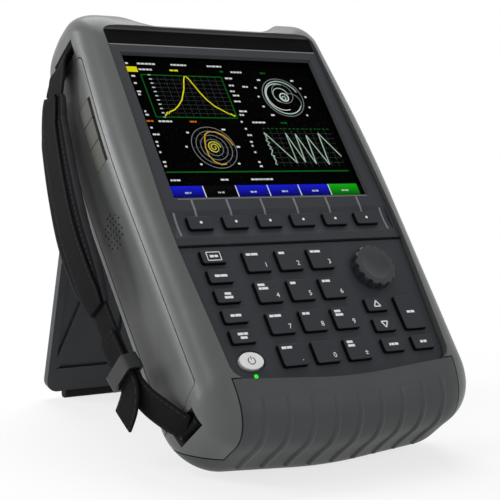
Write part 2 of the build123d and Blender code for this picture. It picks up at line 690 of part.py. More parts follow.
def keypad_panel():
    """Lower face panel, set down by a step, with a lip that runs under the groove above it."""
    panel = panel_slab(KEYPAD_GAP, (LEDGE_Z, KEYPAD_Z))
    panel -= block((-BIG, BIG), (SPLIT_Y - SPLIT_GAP / 2, BIG), (-BIG, BIG))
    lip = panel_slab(KEYPAD_GAP, (LEDGE_Z, KEYPAD_Z - LIP_DROP))
    lip &= block((-BIG, BIG), (SPLIT_Y - SPLIT_GAP, SPLIT_Y + SPLIT_GAP / 2 - PANEL_GAP), (-BIG, BIG))
    keys = key_holes([name for name in KEYS if not name.startswith("softkey")])
    power = oval(KEY_CLEARANCE, (-BIG / 4, BIG / 4))
    ring = oval(POWER_RING, (KEYPAD_Z - POWER_RING_DEPTH, BIG / 4))
    bushing = rod(BUSHING_RADIUS + BUSHING_CLEARANCE, (KNOB_X, KNOB_Y, -BIG / 4), (KNOB_X, KNOB_Y, BIG / 4))
    led = rod(LED_RADIUS + LED_CLEARANCE, (POWER_X, LED_Y, -BIG / 4), (POWER_X, LED_Y, BIG / 4))
    return panel + lip - [*keys, power, ring, bushing, led]


def name_strip():
    """Plain strip above the display."""
    z = (-STRIP_POCKET, STRIP_THICKNESS - STRIP_POCKET)
    return plate(STRIP_WIDTH, STRIP_HEIGHT, STRIP_CORNER, (0, STRIP_Y), z)


def display_window():
    """Clear window seated from behind in the bezel."""
    width = DISPLAY_WIDTH + 2 * DISPLAY_MARGIN + 2 * WINDOW_LAP
    height = DISPLAY_HEIGHT + 2 * DISPLAY_MARGIN + 2 * WINDOW_LAP
    z = (-WINDOW_DEPTH - WINDOW_THICKNESS, -WINDOW_DEPTH)
    return block((-width / 2, width / 2), (-height / 2, height / 2), z)


def lcd_module():
    """Display module behind the bezel."""
    width = DISPLAY_WIDTH + 2 * LCD_LAP
    height = DISPLAY_HEIGHT + 2 * LCD_LAP
    z = (LEDGE_Z - LCD_THICKNESS, LEDGE_Z)
    return block((-width / 2, width / 2), (-height / 2, height / 2), z)


def status_led():
    """Small domed lamp below the power button."""
    top = KEYPAD_Z + LED_PROUD
    lamp = rod(LED_RADIUS, (POWER_X, LED_Y, LEDGE_Z), (POWER_X, LED_Y, top))
    return fillet(lamp.faces().sort_by(Axis.Z)[-1].edges(), LED_PROUD)


def tuning_knob():
    """Fluted knob with a dished top, on a stem that turns in the encoder."""
    base = KEYPAD_Z + KNOB_LIFT
    top = base + KNOB_HEIGHT
    knob = rod(KNOB_RADIUS, (KNOB_X, KNOB_Y, base), (KNOB_X, KNOB_Y, top))
    knob = fillet(knob.faces().sort_by(Axis.Z)[-1].edges(), KNOB_EDGE)
    dish_centre = top - KNOB_DISH_DEPTH + KNOB_DISH_RADIUS
    knob -= Pos(KNOB_X, KNOB_Y, dish_centre) * Sphere(KNOB_DISH_RADIUS)
    ring = KNOB_RADIUS - KNOB_FLUTE_DEPTH + KNOB_FLUTE_RADIUS
    for index in range(KNOB_FLUTES):
        turn = math.radians(360 / KNOB_FLUTES * index)
        x = KNOB_X + ring * math.cos(turn)
        y = KNOB_Y + ring * math.sin(turn)
        knob -= rod(KNOB_FLUTE_RADIUS, (x, y, base), (x, y, top))
    under = KEYPAD_Z + BUSHING_PROUD + KNOB_LIFT
    knob -= rod(BUSHING_RADIUS + BUSHING_CLEARANCE, (KNOB_X, KNOB_Y, base), (KNOB_X, KNOB_Y, under))
    return knob + rod(STEM_RADIUS, (KNOB_X, KNOB_Y, KEYPAD_Z - STEM_LENGTH), (KNOB_X, KNOB_Y, under))


def encoder_column(side, z):
    """Square column round the knob's axis."""
    return plate(side, side, ENCODER_CORNER, (KNOB_X, KNOB_Y), z)


def encoder():
    """Rotary encoder: square body on the keypad board and a bushing through the panel."""
    body = encoder_column(ENCODER_SIDE, (BOARD_Z, LEDGE_Z - BUSHING_CLEARANCE))
    body += rod(BUSHING_RADIUS, (KNOB_X, KNOB_Y, BOARD_Z), (KNOB_X, KNOB_Y, KEYPAD_Z + BUSHING_PROUD))
    bore_end = max(KEYPAD_Z - STEM_LENGTH - KNOB_LIFT, BOARD_Z + STEM_CLEARANCE)
    bore = rod(STEM_RADIUS + STEM_CLEARANCE, (KNOB_X, KNOB_Y, bore_end), (KNOB_X, KNOB_Y, BIG / 4))
    return body - bore


def keypad_mat():
    """Rubber mat under the keys, on the keypad board."""
    half = PANEL_FOOT_HALF - MAT_MARGIN
    mat = block((-half, half), (PANEL_FOOT_Y + MAT_FOOT_RISE, SOFTKEY_Y + MAT_RISE), (BOARD_Z, MAT_Z))
    return mat - encoder_column(ENCODER_SIDE + 2 * KEY_CLEARANCE, (BOARD_Z - CUT_OVER, LEDGE_Z))


def keypad_board():
    """Circuit board under the keypad mat, against the back of the panel ledge."""
    half = CAVITY_HALF - BOARD_MARGIN
    return block((-half, half), (CAVITY_FOOT_Y, SOFTKEY_Y + BOARD_RISE), (BOARD_Z - BOARD_THICKNESS, BOARD_Z))


def main_board():
    """Main circuit board across the cavity, notched for the loudspeaker."""
    half = CAVITY_HALF - MAIN_BOARD_GAP
    board = block(
        (-half, half),
        (CAVITY_FOOT_Y + MAIN_BOARD_FOOT_RISE, CAVITY_TOP_Y - MAIN_BOARD_TOP_DROP),
        (MAIN_BOARD_Z - BOARD_THICKNESS, MAIN_BOARD_Z),
    )
    reach = SPEAKER_RADIUS + SPEAKER_GAP
    notch_x = (-CAVITY_HALF, -CAVITY_HALF + SPEAKER_DEPTH + SPEAKER_GAP)
    return board - block(notch_x, (GRILLE_Y - reach, GRILLE_Y + reach), (-BIG, BIG))


def rf_module():
    """Screened radio module on the back of the main board."""
    top = MAIN_BOARD_Z - BOARD_THICKNESS
    width, height, depth = RF_MODULE
    high = CAVITY_TOP_Y - RF_MODULE_DROP
    can = block((RF_MODULE_X - width / 2, RF_MODULE_X + width / 2), (high - height, high), (top - depth, top))
    return fillet(can.edges().filter_by(Axis.Z), RF_EDGE)


def flap_seat(y):
    """How far out the flat seat of a flap stands, from the flap's height limits."""
    return min(side_half(limit) for limit in y) - DOOR_DEPTH


def battery_room(grow):
    """Battery's outline, grown for the hole that it slides in through."""
    outer = flap_seat(battery_door_limits()[0]) - BATTERY_CLEARANCE
    return block(
        (outer - BATTERY_WIDTH, outer),
        (BATTERY_Y - BATTERY_HEIGHT / 2 - grow, BATTERY_Y + BATTERY_HEIGHT / 2 + grow),
        (BATTERY_BACK_Z - grow, BATTERY_FRONT_Z + grow),
    )


def battery_pack():
    """Rechargeable pack, held in the hole behind its door."""
    pack = battery_room(0)
    return fillet(pack.edges().filter_by(Axis.X), BATTERY_EDGE)


def battery_door_limits():
    """Height and depth limits of the battery door's recess."""
    reach = BATTERY_HEIGHT / 2 + BATTERY_DOOR_MARGIN
    return (
        (BATTERY_Y - reach, BATTERY_Y + reach),
        (BATTERY_BACK_Z - BATTERY_DOOR_MARGIN, BATTERY_FRONT_Z + BATTERY_DOOR_MARGIN / 2),
    )


def flap(body, side, y, z):
    """Flap flush with the case side, with a finger rabbet along its front edge."""
    gap_y = (y[0] + DOOR_GAP, y[1] - DOOR_GAP)
    gap_z = (z[0] + DOOR_GAP, z[1] - DOOR_FRONT_GAP)
    seat = flap_seat(y)
    piece = body & block((side * (seat + DOOR_GAP), side * BIG / 2), gap_y, gap_z)
    step = seat + DOOR_DEPTH - DOOR_RABBET_DEPTH
    return piece - block((side * step, side * BIG / 2), y, (z[1] - DOOR_RABBET, z[1]))


def flap_recess(side, y, z):
    """Room in the case side for a flap."""
    return block((side * flap_seat(y), side * BIG / 2), y, z)


def door_limits():
    """Height limits of the left side's flaps, from the top one down."""
    limits = []
    high = DOOR_TOP_Y
    for height in DOOR_HEIGHTS:
        limits.append((high - height, high))
        high -= height
    return limits


def jack_columns(grow, x):
    """Jack outlines behind the left flaps."""
    middle = (DOOR_FRONT_Z + DOOR_BACK_Z) / 2
    depth = (middle - JACK_HEIGHT / 2 - grow, middle + JACK_HEIGHT / 2 + grow)
    columns = []
    for low, high in door_limits():
        centre = (low + high) / 2
        columns.append(block(x, (centre - JACK_WIDTH / 2 - grow, centre + JACK_WIDTH / 2 + grow), depth))
    return columns


def side_jacks():
    """Sockets behind the left flaps on their small board."""
    outer = JACK_RECESS - flap_seat((DOOR_FOOT_Y, DOOR_TOP_Y))
    inner = outer + JACK_LENGTH
    board_z = (DOOR_BACK_Z, MAIN_BOARD_Z - 2 * BOARD_THICKNESS)
    board = block((inner, inner + JACK_BOARD), (DOOR_FOOT_Y, DOOR_TOP_Y), board_z)
    sockets = jack_columns(-JACK_WALL, (outer - CUT_OVER, outer + JACK_SOCKET_DEPTH))
    return board + jack_columns(0, (outer, inner)) - sockets


def grille_holes():
    """Round cluster of small sound holes through the left side."""
    holes = []
    row_pitch = GRILLE_PITCH * math.sqrt(3) / 2
    reach = math.ceil(GRILLE_RADIUS / row_pitch)
    for row in range(-reach, reach + 1):
        for column in range(-reach, reach + 1):
            offset = (column + (row % 2) / 2) * GRILLE_PITCH
            rise = row * row_pitch
            if math.hypot(offset, rise) < GRILLE_RADIUS:
                spot = (GRILLE_Y + rise, GRILLE_Z + offset)
                holes.append(rod(GRILLE_HOLE, (-BIG / 2, *spot), (-CAVITY_HALF + CUT_OVER, *spot)))
    return holes


def speaker():
    """Loudspeaker against the inside of the left wall."""
    front = (-CAVITY_HALF, GRILLE_Y, GRILLE_Z)
    return rod(SPEAKER_RADIUS, front, (-CAVITY_HALF + SPEAKER_DEPTH, GRILLE_Y, GRILLE_Z))


def deck_stub(radius, length, x):
    """Round stub through the deck's wall."""
    return rod(radius, (x, DECK_Y - length, MIDDLE_Z), (x, DECK_Y, MIDDLE_Z))


def deck_holes():
    """Holes in the deck that the connectors' stubs fill."""
    ports = [deck_stub(PORT_STUB_RADIUS, PORT_STUB_LENGTH, x) for x in (-PORT_X, PORT_X)]
    return ports + [deck_stub(AUX_THREAD_RADIUS, AUX_STUB_LENGTH, x) for x in (-AUX_X, AUX_X)]


def deck_seat():
    """Shallow flat seat across the deck for the connectors."""
    reach = PORT_FLANGE / 2 + DECK_SEAT_GAP
    depth = (MIDDLE_Z - reach, MIDDLE_Z + reach)
    return block((-PORT_X - reach, PORT_X + reach), (DECK_Y, BIG / 2), depth)


def rf_port(x):
    """Threaded coaxial port: stub, flange, nut, thread, socket and centre pin."""
    nut_base = DECK_Y + PORT_FLANGE_THICKNESS
    thread_base = nut_base + PORT_NUT_LENGTH
    tip = thread_base + PORT_THREAD_LENGTH
    port = deck_stub(PORT_STUB_RADIUS, PORT_STUB_LENGTH, x)
    half = PORT_FLANGE / 2
    port += block((x - half, x + half), (DECK_Y, nut_base), (MIDDLE_Z - half, MIDDLE_Z + half))
    nut = Plane((x, nut_base, MIDDLE_Z), x_dir=(1, 0, 0), z_dir=(0, 1, 0)) * RegularPolygon(PORT_NUT_RADIUS, 6)
    port += extrude(nut, PORT_NUT_LENGTH)
    port += rod(PORT_THREAD_RADIUS, (x, thread_base, MIDDLE_Z), (x, tip, MIDDLE_Z))
    port -= rod(PORT_BORE_RADIUS, (x, tip - PORT_BORE_DEPTH, MIDDLE_Z), (x, tip, MIDDLE_Z))
    floor = tip - PORT_BORE_DEPTH
    return port + rod(PORT_PIN_RADIUS, (x, floor, MIDDLE_Z), (x, floor + PORT_PIN_LENGTH, MIDDLE_Z))


def aux_connector(x):
    """Small threaded connector: stub, nut, thread and socket."""
    thread_base = DECK_Y + AUX_NUT_LENGTH
    tip = thread_base + AUX_THREAD_LENGTH
    jack = rod(AUX_THREAD_RADIUS, (x, DECK_Y - AUX_STUB_LENGTH, MIDDLE_Z), (x, tip, MIDDLE_Z))
    nut = Plane((x, DECK_Y, MIDDLE_Z), x_dir=(1, 0, 0), z_dir=(0, 1, 0)) * RegularPolygon(AUX_NUT_RADIUS, 6)
    jack += extrude(nut, AUX_NUT_LENGTH)
    return jack - rod(AUX_BORE_RADIUS, (x, tip - AUX_BORE_DEPTH, MIDDLE_Z), (x, tip, MIDDLE_Z))


def strap_slot(bar, z):
    """Slot in the case's left side around a strap bar."""
    x, y = bar
    inner = x + STRAP_BAR_RADIUS + STRAP_EYE_WALL + 2 * STRAP_BAR_CLEARANCE
    return block((-BIG / 2, inner), (y - STRAP_SLOT_HALF, y + STRAP_SLOT_HALF), z)


def strap_bar(bar, z):
    """Bar moulded across a strap slot, rooted in both its ends."""
    return rod(STRAP_BAR_RADIUS, (*bar, z[0] - STRAP_BAR_ROOT), (*bar, z[1] + STRAP_BAR_ROOT))


def front_shell(body):
    """Front housing: rails round the face, the top end with its deck and the two bottom corners."""
    shell = body - rear_zone(SEAM_GAP)
    shell -= bumper_zone(BUMPER_GAP)
    pocket = panel_slab(0, (LEDGE_Z, BIG / 4))
    throat = panel_slab(LEDGE_WIDTH, (LEDGE_BACK_Z - CUT_OVER, LEDGE_Z + CUT_OVER))
    shell -= [cavity(), pocket, throat, deck_seat(), *deck_holes()]
    shell -= [strap_slot(TOP_BAR, TOP_BAR_Z), strap_slot(LOW_BAR, LOW_BAR_Z)]
    return shell + [strap_bar(TOP_BAR, TOP_BAR_Z), strap_bar(LOW_BAR, LOW_BAR_Z)]


def screw_spots():
    """Centres of the case screws on the back."""
    rows = (SEAM_TOP_Y - SCREW_TOP_DROP, SEAM_FOOT_Y + SCREW_FOOT_RISE)
    return [(x, y) for x in (-SCREW_X, SCREW_X) for y in rows]


def case_screw(spot):
    """Case screw with a sunk head and a round drive recess."""
    head_top = BACK_Z + SCREW_HEAD_DEPTH
    screw = rod(SCREW_HEAD_RADIUS, (*spot, BACK_Z), (*spot, head_top))
    screw += rod(SCREW_SHANK_RADIUS, (*spot, head_top), (*spot, head_top + SCREW_SHANK_LENGTH))
    return screw - rod(SCREW_SLOT_RADIUS, (*spot, BACK_Z), (*spot, BACK_Z + SCREW_SLOT_DEPTH))


def screw_hole(spot):
    """Stepped hole that a case screw fills."""
    head_top = BACK_Z + SCREW_HEAD_DEPTH
    hole = rod(SCREW_HEAD_RADIUS, (*spot, BACK_Z - CUT_OVER), (*spot, head_top))
    return hole + rod(SCREW_SHANK_RADIUS, (*spot, head_top), (*spot, head_top + SCREW_SHANK_LENGTH))


def stand_pocket():
    """Room in the back for the folded stand and its hinge barrel."""
    half = STAND_HALF + STAND_POCKET_GAP
    low = STAND_PIN_Y - STAND_LENGTH - STAND_POCKET_GAP
    high = STAND_PIN_Y + STAND_BARREL_RADIUS + STAND_POCKET_GAP
    pocket = block((-half, half), (low, high), (-BIG / 2, STAND_FLOOR_Z))
    barrel = STAND_BARREL_RADIUS + STAND_LUG_GAP
    ends = (-LUG_OUTER, STAND_PIN_Y, STAND_PIN_Z), (LUG_OUTER, STAND_PIN_Y, STAND_PIN_Z)
    return pocket + rod(barrel, *ends)


def stand_lugs():
    """Two lugs that hold the ends of the hinge pin."""
    lugs = []
    reach = STAND_BARREL_RADIUS + STAND_LUG_GAP
    for side in (-1, 1):
        inner = side * LUG_INNER
        outer = side * LUG_OUTER
        lug = rod(STAND_BARREL_RADIUS, (inner, STAND_PIN_Y, STAND_PIN_Z), (outer, STAND_PIN_Y, STAND_PIN_Z))
        lug += block(
            (inner, outer),
            (STAND_PIN_Y - STAND_BARREL_RADIUS, STAND_PIN_Y + STAND_BARREL_RADIUS),
            (STAND_PIN_Z, STAND_PIN_Z + reach),
        )
        lugs.append(lug)
    return lugs


def hinge_line(radius, half):
    """Round bar along the stand's hinge."""
    return rod(radius, (-half, STAND_PIN_Y, STAND_PIN_Z), (half, STAND_PIN_Y, STAND_PIN_Z))


def side_groove():
    """Thin parting groove round the case where its sides begin to turn into the back."""
    outline = case_outline(GROOVE_Z)
    ring = offset(outline, GROOVE_DEPTH) - offset(outline, -GROOVE_DEPTH)
    return extrude(ring, GROOVE_WIDTH, dir=(0, 0, 1))


def rear_shell(body):
    """Rear housing: sides and back, with recesses for flaps, stand and screws."""
    shell = (body & rear_zone(0)) - [cavity(), stand_pocket(), side_groove()]
    shell -= flap_recess(-1, (DOOR_FOOT_Y, DOOR_TOP_Y), (DOOR_BACK_Z, DOOR_FRONT_Z))
    shell -= flap_recess(1, *battery_door_limits())
    shell -= jack_columns(JACK_CLEARANCE, (-HALF_WIDTH, -CAVITY_HALF + CUT_OVER))
    shell -= battery_room(BATTERY_CLEARANCE)
    shell -= grille_holes()
    shell -= [screw_hole(spot) for spot in screw_spots()]
    return shell + stand_lugs() - hinge_line(STAND_PIN_RADIUS, LUG_OUTER)


def bottom_rise(x):
    """How far the crowned bottom edge has risen at a distance from the middle."""
    if abs(x) > BOTTOM_CROWN * math.sin(BOTTOM_TURN):
        return abs(x) * math.tan(BOTTOM_TURN)
    return BOTTOM_CROWN + CROWN_RISE - math.sqrt(BOTTOM_CROWN**2 - x**2)


def bumper_rib(x):
    """Rib with a round top end that grows round the bumper's toe and runs straight along its underside."""
    tube = (RIB_WIDTH**2 / 4 + RIB_PROUD**2) / (2 * RIB_PROUD)
    ring = TOE_RADIUS + RIB_PROUD - tube
    middle = (x, TOE_Y + bottom_rise(x), TOE_Z - RIB_FADE)
    high = middle[1] - RIB_TOP_DROP
    low = BOTTOM_Y - TOE_RADIUS
    window = plate(RIB_WIDTH, high - low, RIB_WIDTH * BAND_ROUND_SHARE, (x, (high + low) / 2), (middle[2], BIG))
    turn = Pos(*middle) * Rot(0, 90, 0) * Torus(ring, tube) & window
    under = middle[1] - ring
    return turn + rod(tube, (x, under, HEEL_Z), (x, under, middle[2]))


def bottom_bumper(body):
    """Rubber bumper round the bottom end, with ribs that start below a smooth lip."""
    bumper = (body & bumper_zone(0)) - rear_zone(SEAM_GAP)
    first = -(RIB_COUNT - 1) / 2 * RIB_PITCH
    return bumper + [bumper_rib(first + index * RIB_PITCH) for index in range(RIB_COUNT)]


def open_stand(piece):
    """Swing a piece drawn on the folded stand out to its stop."""
    axis = Axis((0, STAND_PIN_Y, STAND_PIN_Z), (1, 0, 0))
    return piece.rotate(axis, STAND_OPEN)


def stand_rib(start, end, z):
    """Straight rib between two points of the stand's inner face."""
    run = Vector(*end) - Vector(*start)
    middle = (Vector(*end) + Vector(*start)) / 2
    turn = math.degrees(math.atan2(run.Y, run.X))
    bar = Pos(middle.X, middle.Y, (z[0] + z[1]) / 2) * Rot(0, 0, turn)
    return bar * Box(run.length, STAND_RIB_WIDTH, z[1] - z[0])


def stand():
    """Stand plate with a rim, a spine, a foot bar, crossed ribs and a hinge barrel."""
    inner = STAND_PIN_Z + STAND_THICKNESS / 2
    outer = STAND_PIN_Z - STAND_THICKNESS / 2
    low = STAND_PIN_Y - STAND_LENGTH + FOOT_REACH
    panel = block((-STAND_HALF, STAND_HALF), (low, STAND_PIN_Y), (outer, inner))
    corners = panel.edges().filter_by(Axis.Z).group_by(Axis.Y)[0]
    panel = fillet(corners, STAND_CORNER - FOOT_REACH)
    recess_half = STAND_HALF - STAND_RIM
    recess_y = (STAND_PIN_Y - STAND_LENGTH + STAND_FOOT_BAR, STAND_PIN_Y - STAND_HEAD)
    floor = inner - STAND_RECESS
    crest = inner - STAND_RIB_DROP
    for side in (-1, 1):
        bay = (side * STAND_SPINE_HALF, side * recess_half)
        panel -= block(bay, recess_y, (floor, inner + CUT_OVER))
        ribs = stand_rib((bay[0], recess_y[0]), (bay[1], recess_y[1]), (floor, crest))
        ribs += stand_rib((bay[1], recess_y[0]), (bay[0], recess_y[1]), (floor, crest))
        panel += ribs & block(bay, recess_y, (floor, crest))
        notch_x = (side * STAND_BARREL_HALF, side * (STAND_HALF + CUT_OVER))
        notch_y = (STAND_PIN_Y - STAND_SHOULDER, STAND_PIN_Y + CUT_OVER)
        panel -= block(notch_x, notch_y, (outer - CUT_OVER, inner + CUT_OVER))
    panel += hinge_line(STAND_BARREL_RADIUS, STAND_BARREL_HALF)
    return open_stand(panel - hinge_line(STAND_PIN_RADIUS + STAND_PIN_CLEARANCE, STAND_HALF))


def stand_foot():
    """Rubber strip along the stand's lower edge."""
    half = STAND_HALF - STAND_CORNER
    low = STAND_PIN_Y - STAND_LENGTH + FOOT_RADIUS
    strip = rod(FOOT_RADIUS, (-half, low, STAND_PIN_Z), (half, low, STAND_PIN_Z))
    depth = (STAND_PIN_Z - FOOT_RADIUS, STAND_PIN_Z + FOOT_RADIUS)
    return open_stand(strip + block((-half, half), (low, low + FOOT_REACH - FOOT_RADIUS), depth))


def strap_stations(rows):
    """Stations of a band as place, width and thickness."""
    stations = []
    for share, out, behind, width, thickness in rows:
        place = (-HALF_WIDTH - out, TOP_BAR_Y + share * (LOW_BAR_Y - TOP_BAR_Y), MIDDLE_Z - behind)
        stations.append((place, width, thickness))
    return stations


def bar_station(bar, z, width):
    """Station where a band meets the eye round its bar."""
    return ((bar[0] - EYE_MIDDLE, bar[1], sum(z) / 2), width, WEB_THICKNESS)


TOP_END = bar_station(TOP_BAR, TOP_BAR_Z, TOP_EYE_WIDTH)
LOW_END = bar_station(LOW_BAR, LOW_BAR_Z, LOW_EYE_WIDTH)


def band_plane(place, before, after):
    """Plane square to a band's run, with its X along the band's width."""
    run = (Vector(*after) - Vector(*before)).normalized()
    across = (Vector(0, 0, 1) - run * run.Z).normalized()
    return Plane(place, x_dir=across, z_dir=run)


def band(stations, corner):
    """Flexible band of rounded cross-sections through its stations."""
    places = [place for place, _, _ in stations]
    sections = []
    for index, (place, width, thickness) in enumerate(stations):
        before = places[max(index - 1, 0)]
        after = places[min(index + 1, len(places) - 1)]
        radius = min(corner, thickness * BAND_ROUND_SHARE)
        sections.append(band_plane(place, before, after) * RectangleRounded(width, thickness, radius))
    return loft(sections)


def webbing_end(stations, bar, end):
    """Webbing band with a sewn eye round its bar."""
    place, width, _ = end
    inner = STRAP_BAR_RADIUS + STRAP_BAR_CLEARANCE
    eye_ends = (*bar, place[2] - width / 2), (*bar, place[2] + width / 2)
    bore = rod(inner, (*bar, -BIG / 2), (*bar, BIG / 2))
    return band(stations, WEB_ROUND) + rod(inner + STRAP_EYE_WALL, *eye_ends) - bore


def hand_strap_pad():
    """Padded part of the hand strap."""
    return band(strap_stations(PAD_STATIONS), PAD_ROUND)


def strap_webbing():
    """Webbing above the pad, webbing below it and the free tail."""
    pad = hand_strap_pad()
    top = webbing_end([TOP_END, *strap_stations(TOP_WEB_STATIONS)], TOP_BAR, TOP_END) - pad
    low = webbing_end([*strap_stations(LOW_WEB_STATIONS), LOW_END], LOW_BAR, LOW_END) - pad
    return Compound(children=[top, low, band(strap_stations(TAIL_STATIONS), WEB_ROUND)])


def strap_keeper():
    """Sleeve that gathers the lower webbing and the tail."""
    place, width, thickness = strap_stations([KEEPER_STATION])[0]
    run = [at for at, _, _ in strap_stations(LOW_WEB_STATIONS)]
    plane = band_plane(place, run[1], run[3])
    inside = (width + 2 * KEEPER_CLEARANCE, thickness + 2 * KEEPER_CLEARANCE)
    outside = [length + 2 * KEEPER_WALL for length in inside]
    sleeve = plane * RectangleRounded(*outside, KEEPER_WALL) - plane * Rectangle(*inside)
    return extrude(sleeve, KEEPER_LENGTH / 2, both=True)


def all_nodes():
    """Every piece by its node name, in the drawing frame."""
    body = case_body()
    nodes = {
        "front_shell": front_shell(body),
        "rear_shell": rear_shell(body),
        "bottom_bumper": bottom_bumper(body),
        "display_bezel": display_bezel(),
        "keypad_panel": keypad_panel(),
        "name_strip": name_strip(),
        "display_window": display_window(),
        "lcd_module": lcd_module(),
        "status_led": status_led(),
        "tuning_knob": tuning_knob(),
        "encoder": encoder(),
        "keypad_mat": keypad_mat(),
        "keypad_board": keypad_board(),
        "main_board": main_board(),
        "rf_module": rf_module(),
        "battery_pack": battery_pack(),
        "battery_door": flap(body, 1, *battery_door_limits()),
        "side_jacks": side_jacks(),
        "speaker": speaker(),
        "rf_ports": Compound(children=[rf_port(-PORT_X), rf_port(PORT_X)]),
        "aux_connectors": Compound(children=[aux_connector(-AUX_X), aux_connector(AUX_X)]),
        "stand": stand(),
        "stand_pin": hinge_line(STAND_PIN_RADIUS, LUG_OUTER),
        "stand_foot": stand_foot(),
        "case_screws": Compound(children=[case_screw(spot) for spot in screw_spots()]),
        "hand_strap_pad": hand_strap_pad(),
        "strap_webbing": strap_webbing(),
        "strap_keeper": strap_keeper(),
        "power_button": power_button(),
    }
    for index, (low, high) in enumerate(door_limits()):
        nodes[f"side_flap_{index + 1}"] = flap(body, -1, (low, high), (DOOR_BACK_Z, DOOR_FRONT_Z))
    for name, (centre, size, surface) in KEYS.items():
        nodes[name] = key_cap(centre, size, surface)
    return nodes


def stand_up(nodes):
    """Tip every piece up on the open stand, with the floor at Z = 0 and the origin under the middle."""
    tipped = {name: Rot(90 - math.degrees(RECLINE), 0, 0) * piece for name, piece in nodes.items()}
    boxes = [piece.bounding_box() for piece in tipped.values()]
    shift_x = -(min(box.min.X for box in boxes) + max(box.max.X for box in boxes)) / 2
    shift_y = -(min(box.min.Y for box in boxes) + max(box.max.Y for box in boxes)) / 2
    move = Pos(shift_x, shift_y, -FLOOR_HEIGHT)
    placed = {name: move * piece for name, piece in tipped.items()}
    floor = Pos(0, 0, -BIG / 2) * Box(2 * BIG, 2 * BIG, BIG)
    for name in ("bottom_bumper", "stand_foot"):
        placed[name] = placed[name] - floor
    return placed, (shift_x, shift_y, -FLOOR_HEIGHT)


NODES, SHIFT = stand_up(all_nodes())
os.makedirs("parts", exist_ok=True)
for node_name, node in NODES.items():
    export_step(node, f"parts/{node_name}.step")
print("recline", round(math.degrees(RECLINE), 3))
print("shift", [round(value, 3) for value in SHIFT], "nodes", len(NODES))
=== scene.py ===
import json
import math
import random

import bmesh
import bpy
from mathutils import Matrix, Vector


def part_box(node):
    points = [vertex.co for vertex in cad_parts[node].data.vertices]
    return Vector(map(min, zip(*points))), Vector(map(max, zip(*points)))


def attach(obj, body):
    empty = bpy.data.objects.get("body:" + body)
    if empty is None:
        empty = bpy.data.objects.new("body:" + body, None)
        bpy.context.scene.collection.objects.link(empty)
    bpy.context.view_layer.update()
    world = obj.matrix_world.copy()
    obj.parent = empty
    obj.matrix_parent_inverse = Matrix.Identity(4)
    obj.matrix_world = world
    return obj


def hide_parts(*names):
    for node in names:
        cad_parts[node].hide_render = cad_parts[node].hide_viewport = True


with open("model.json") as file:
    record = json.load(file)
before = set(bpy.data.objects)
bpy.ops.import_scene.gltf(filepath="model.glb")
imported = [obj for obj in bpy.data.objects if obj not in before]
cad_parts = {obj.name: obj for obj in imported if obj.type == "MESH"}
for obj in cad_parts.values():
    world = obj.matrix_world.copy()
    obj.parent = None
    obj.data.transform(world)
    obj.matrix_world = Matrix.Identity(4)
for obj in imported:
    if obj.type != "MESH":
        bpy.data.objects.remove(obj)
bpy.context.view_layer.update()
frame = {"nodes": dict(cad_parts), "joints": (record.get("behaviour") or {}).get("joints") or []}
random.seed(11)

# The face's own frame: x to the right, y up the face, z out of it, in millimetres from the display's middle
MM = 0.001
WINDOW_MIDDLE_Z = -2.6
press = next(joint for joint in frame["joints"] if joint["name"] == "enter_key_press")
OUT = -Vector(press["axis"]).normalized()
ACROSS = Vector((1, 0, 0))
UP = OUT.cross(ACROSS)
window_low, window_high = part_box("display_window")
ORIGIN = (window_low + window_high) / 2 - OUT * (WINDOW_MIDDLE_Z * MM)
FACE_TURN = Matrix((ACROSS, UP, OUT)).transposed()
FACE = Matrix.Translation(ORIGIN) @ (FACE_TURN * MM).to_4x4()

# Sizes on the face
SCREEN = (132.5, 99.4)
SCREEN_Z = -3.9
PRINT_THICKNESS = 0.06
RIM_Y = 69.2
TROUGH_HALF = 76.0
TROUGH_RADIUS = 40.0
TROUGH_DEPTH = 1.0
TROUGH_EDGE_REACH = 7.6
TROUGH_EDGE_INSET = 4.0
TICK_TOP_Y = -53.2
TICK_GAP = 0.8
TICK_WIDTH = 1.7
TICK_HEIGHT = 0.35
TICK_SINK = 0.1
TICK_STEPS = 8
KEY_TOP_BAND = 0.05
SOFTKEYS = [f"softkey_{index + 1}" for index in range(6)]
FUNCTION_KEYS = [f"function_key_{index + 1}" for index in range(5)]
NUMBER_KEYS = [f"key_{index}" for index in range(10)]
NUMBER_PAD_KEYS = [*NUMBER_KEYS, "key_point", "key_sign"]
SIDE_KEYS = ["arrow_up_key", "arrow_down_key", "enter_key", "back_key", "escape_key"]


# Materials
class Value:
    """A node's output; arithmetic on it adds Math nodes to its tree."""

    def __init__(self, finish, output):
        self.finish = finish
        self.output = output

    def maths(self, operation, *values):
        return self.finish.node("ShaderNodeMath", {"operation": operation}, dict(enumerate(values)))

    def sine(self):
        return self.maths("SINE", self)

    def __add__(self, other):
        return self.maths("ADD", self, other)

    def __sub__(self, other):
        return self.maths("SUBTRACT", self, other)

    def __rsub__(self, other):
        return self.maths("SUBTRACT", other, self)

    def __mul__(self, other):
        return self.maths("MULTIPLY", self, other)

    def __gt__(self, other):
        return self.maths("GREATER_THAN", self, other)

    def __lt__(self, other):
        return self.maths("LESS_THAN", self, other)

    def __abs__(self):
        return self.maths("ABSOLUTE", self)

    __radd__ = __add__


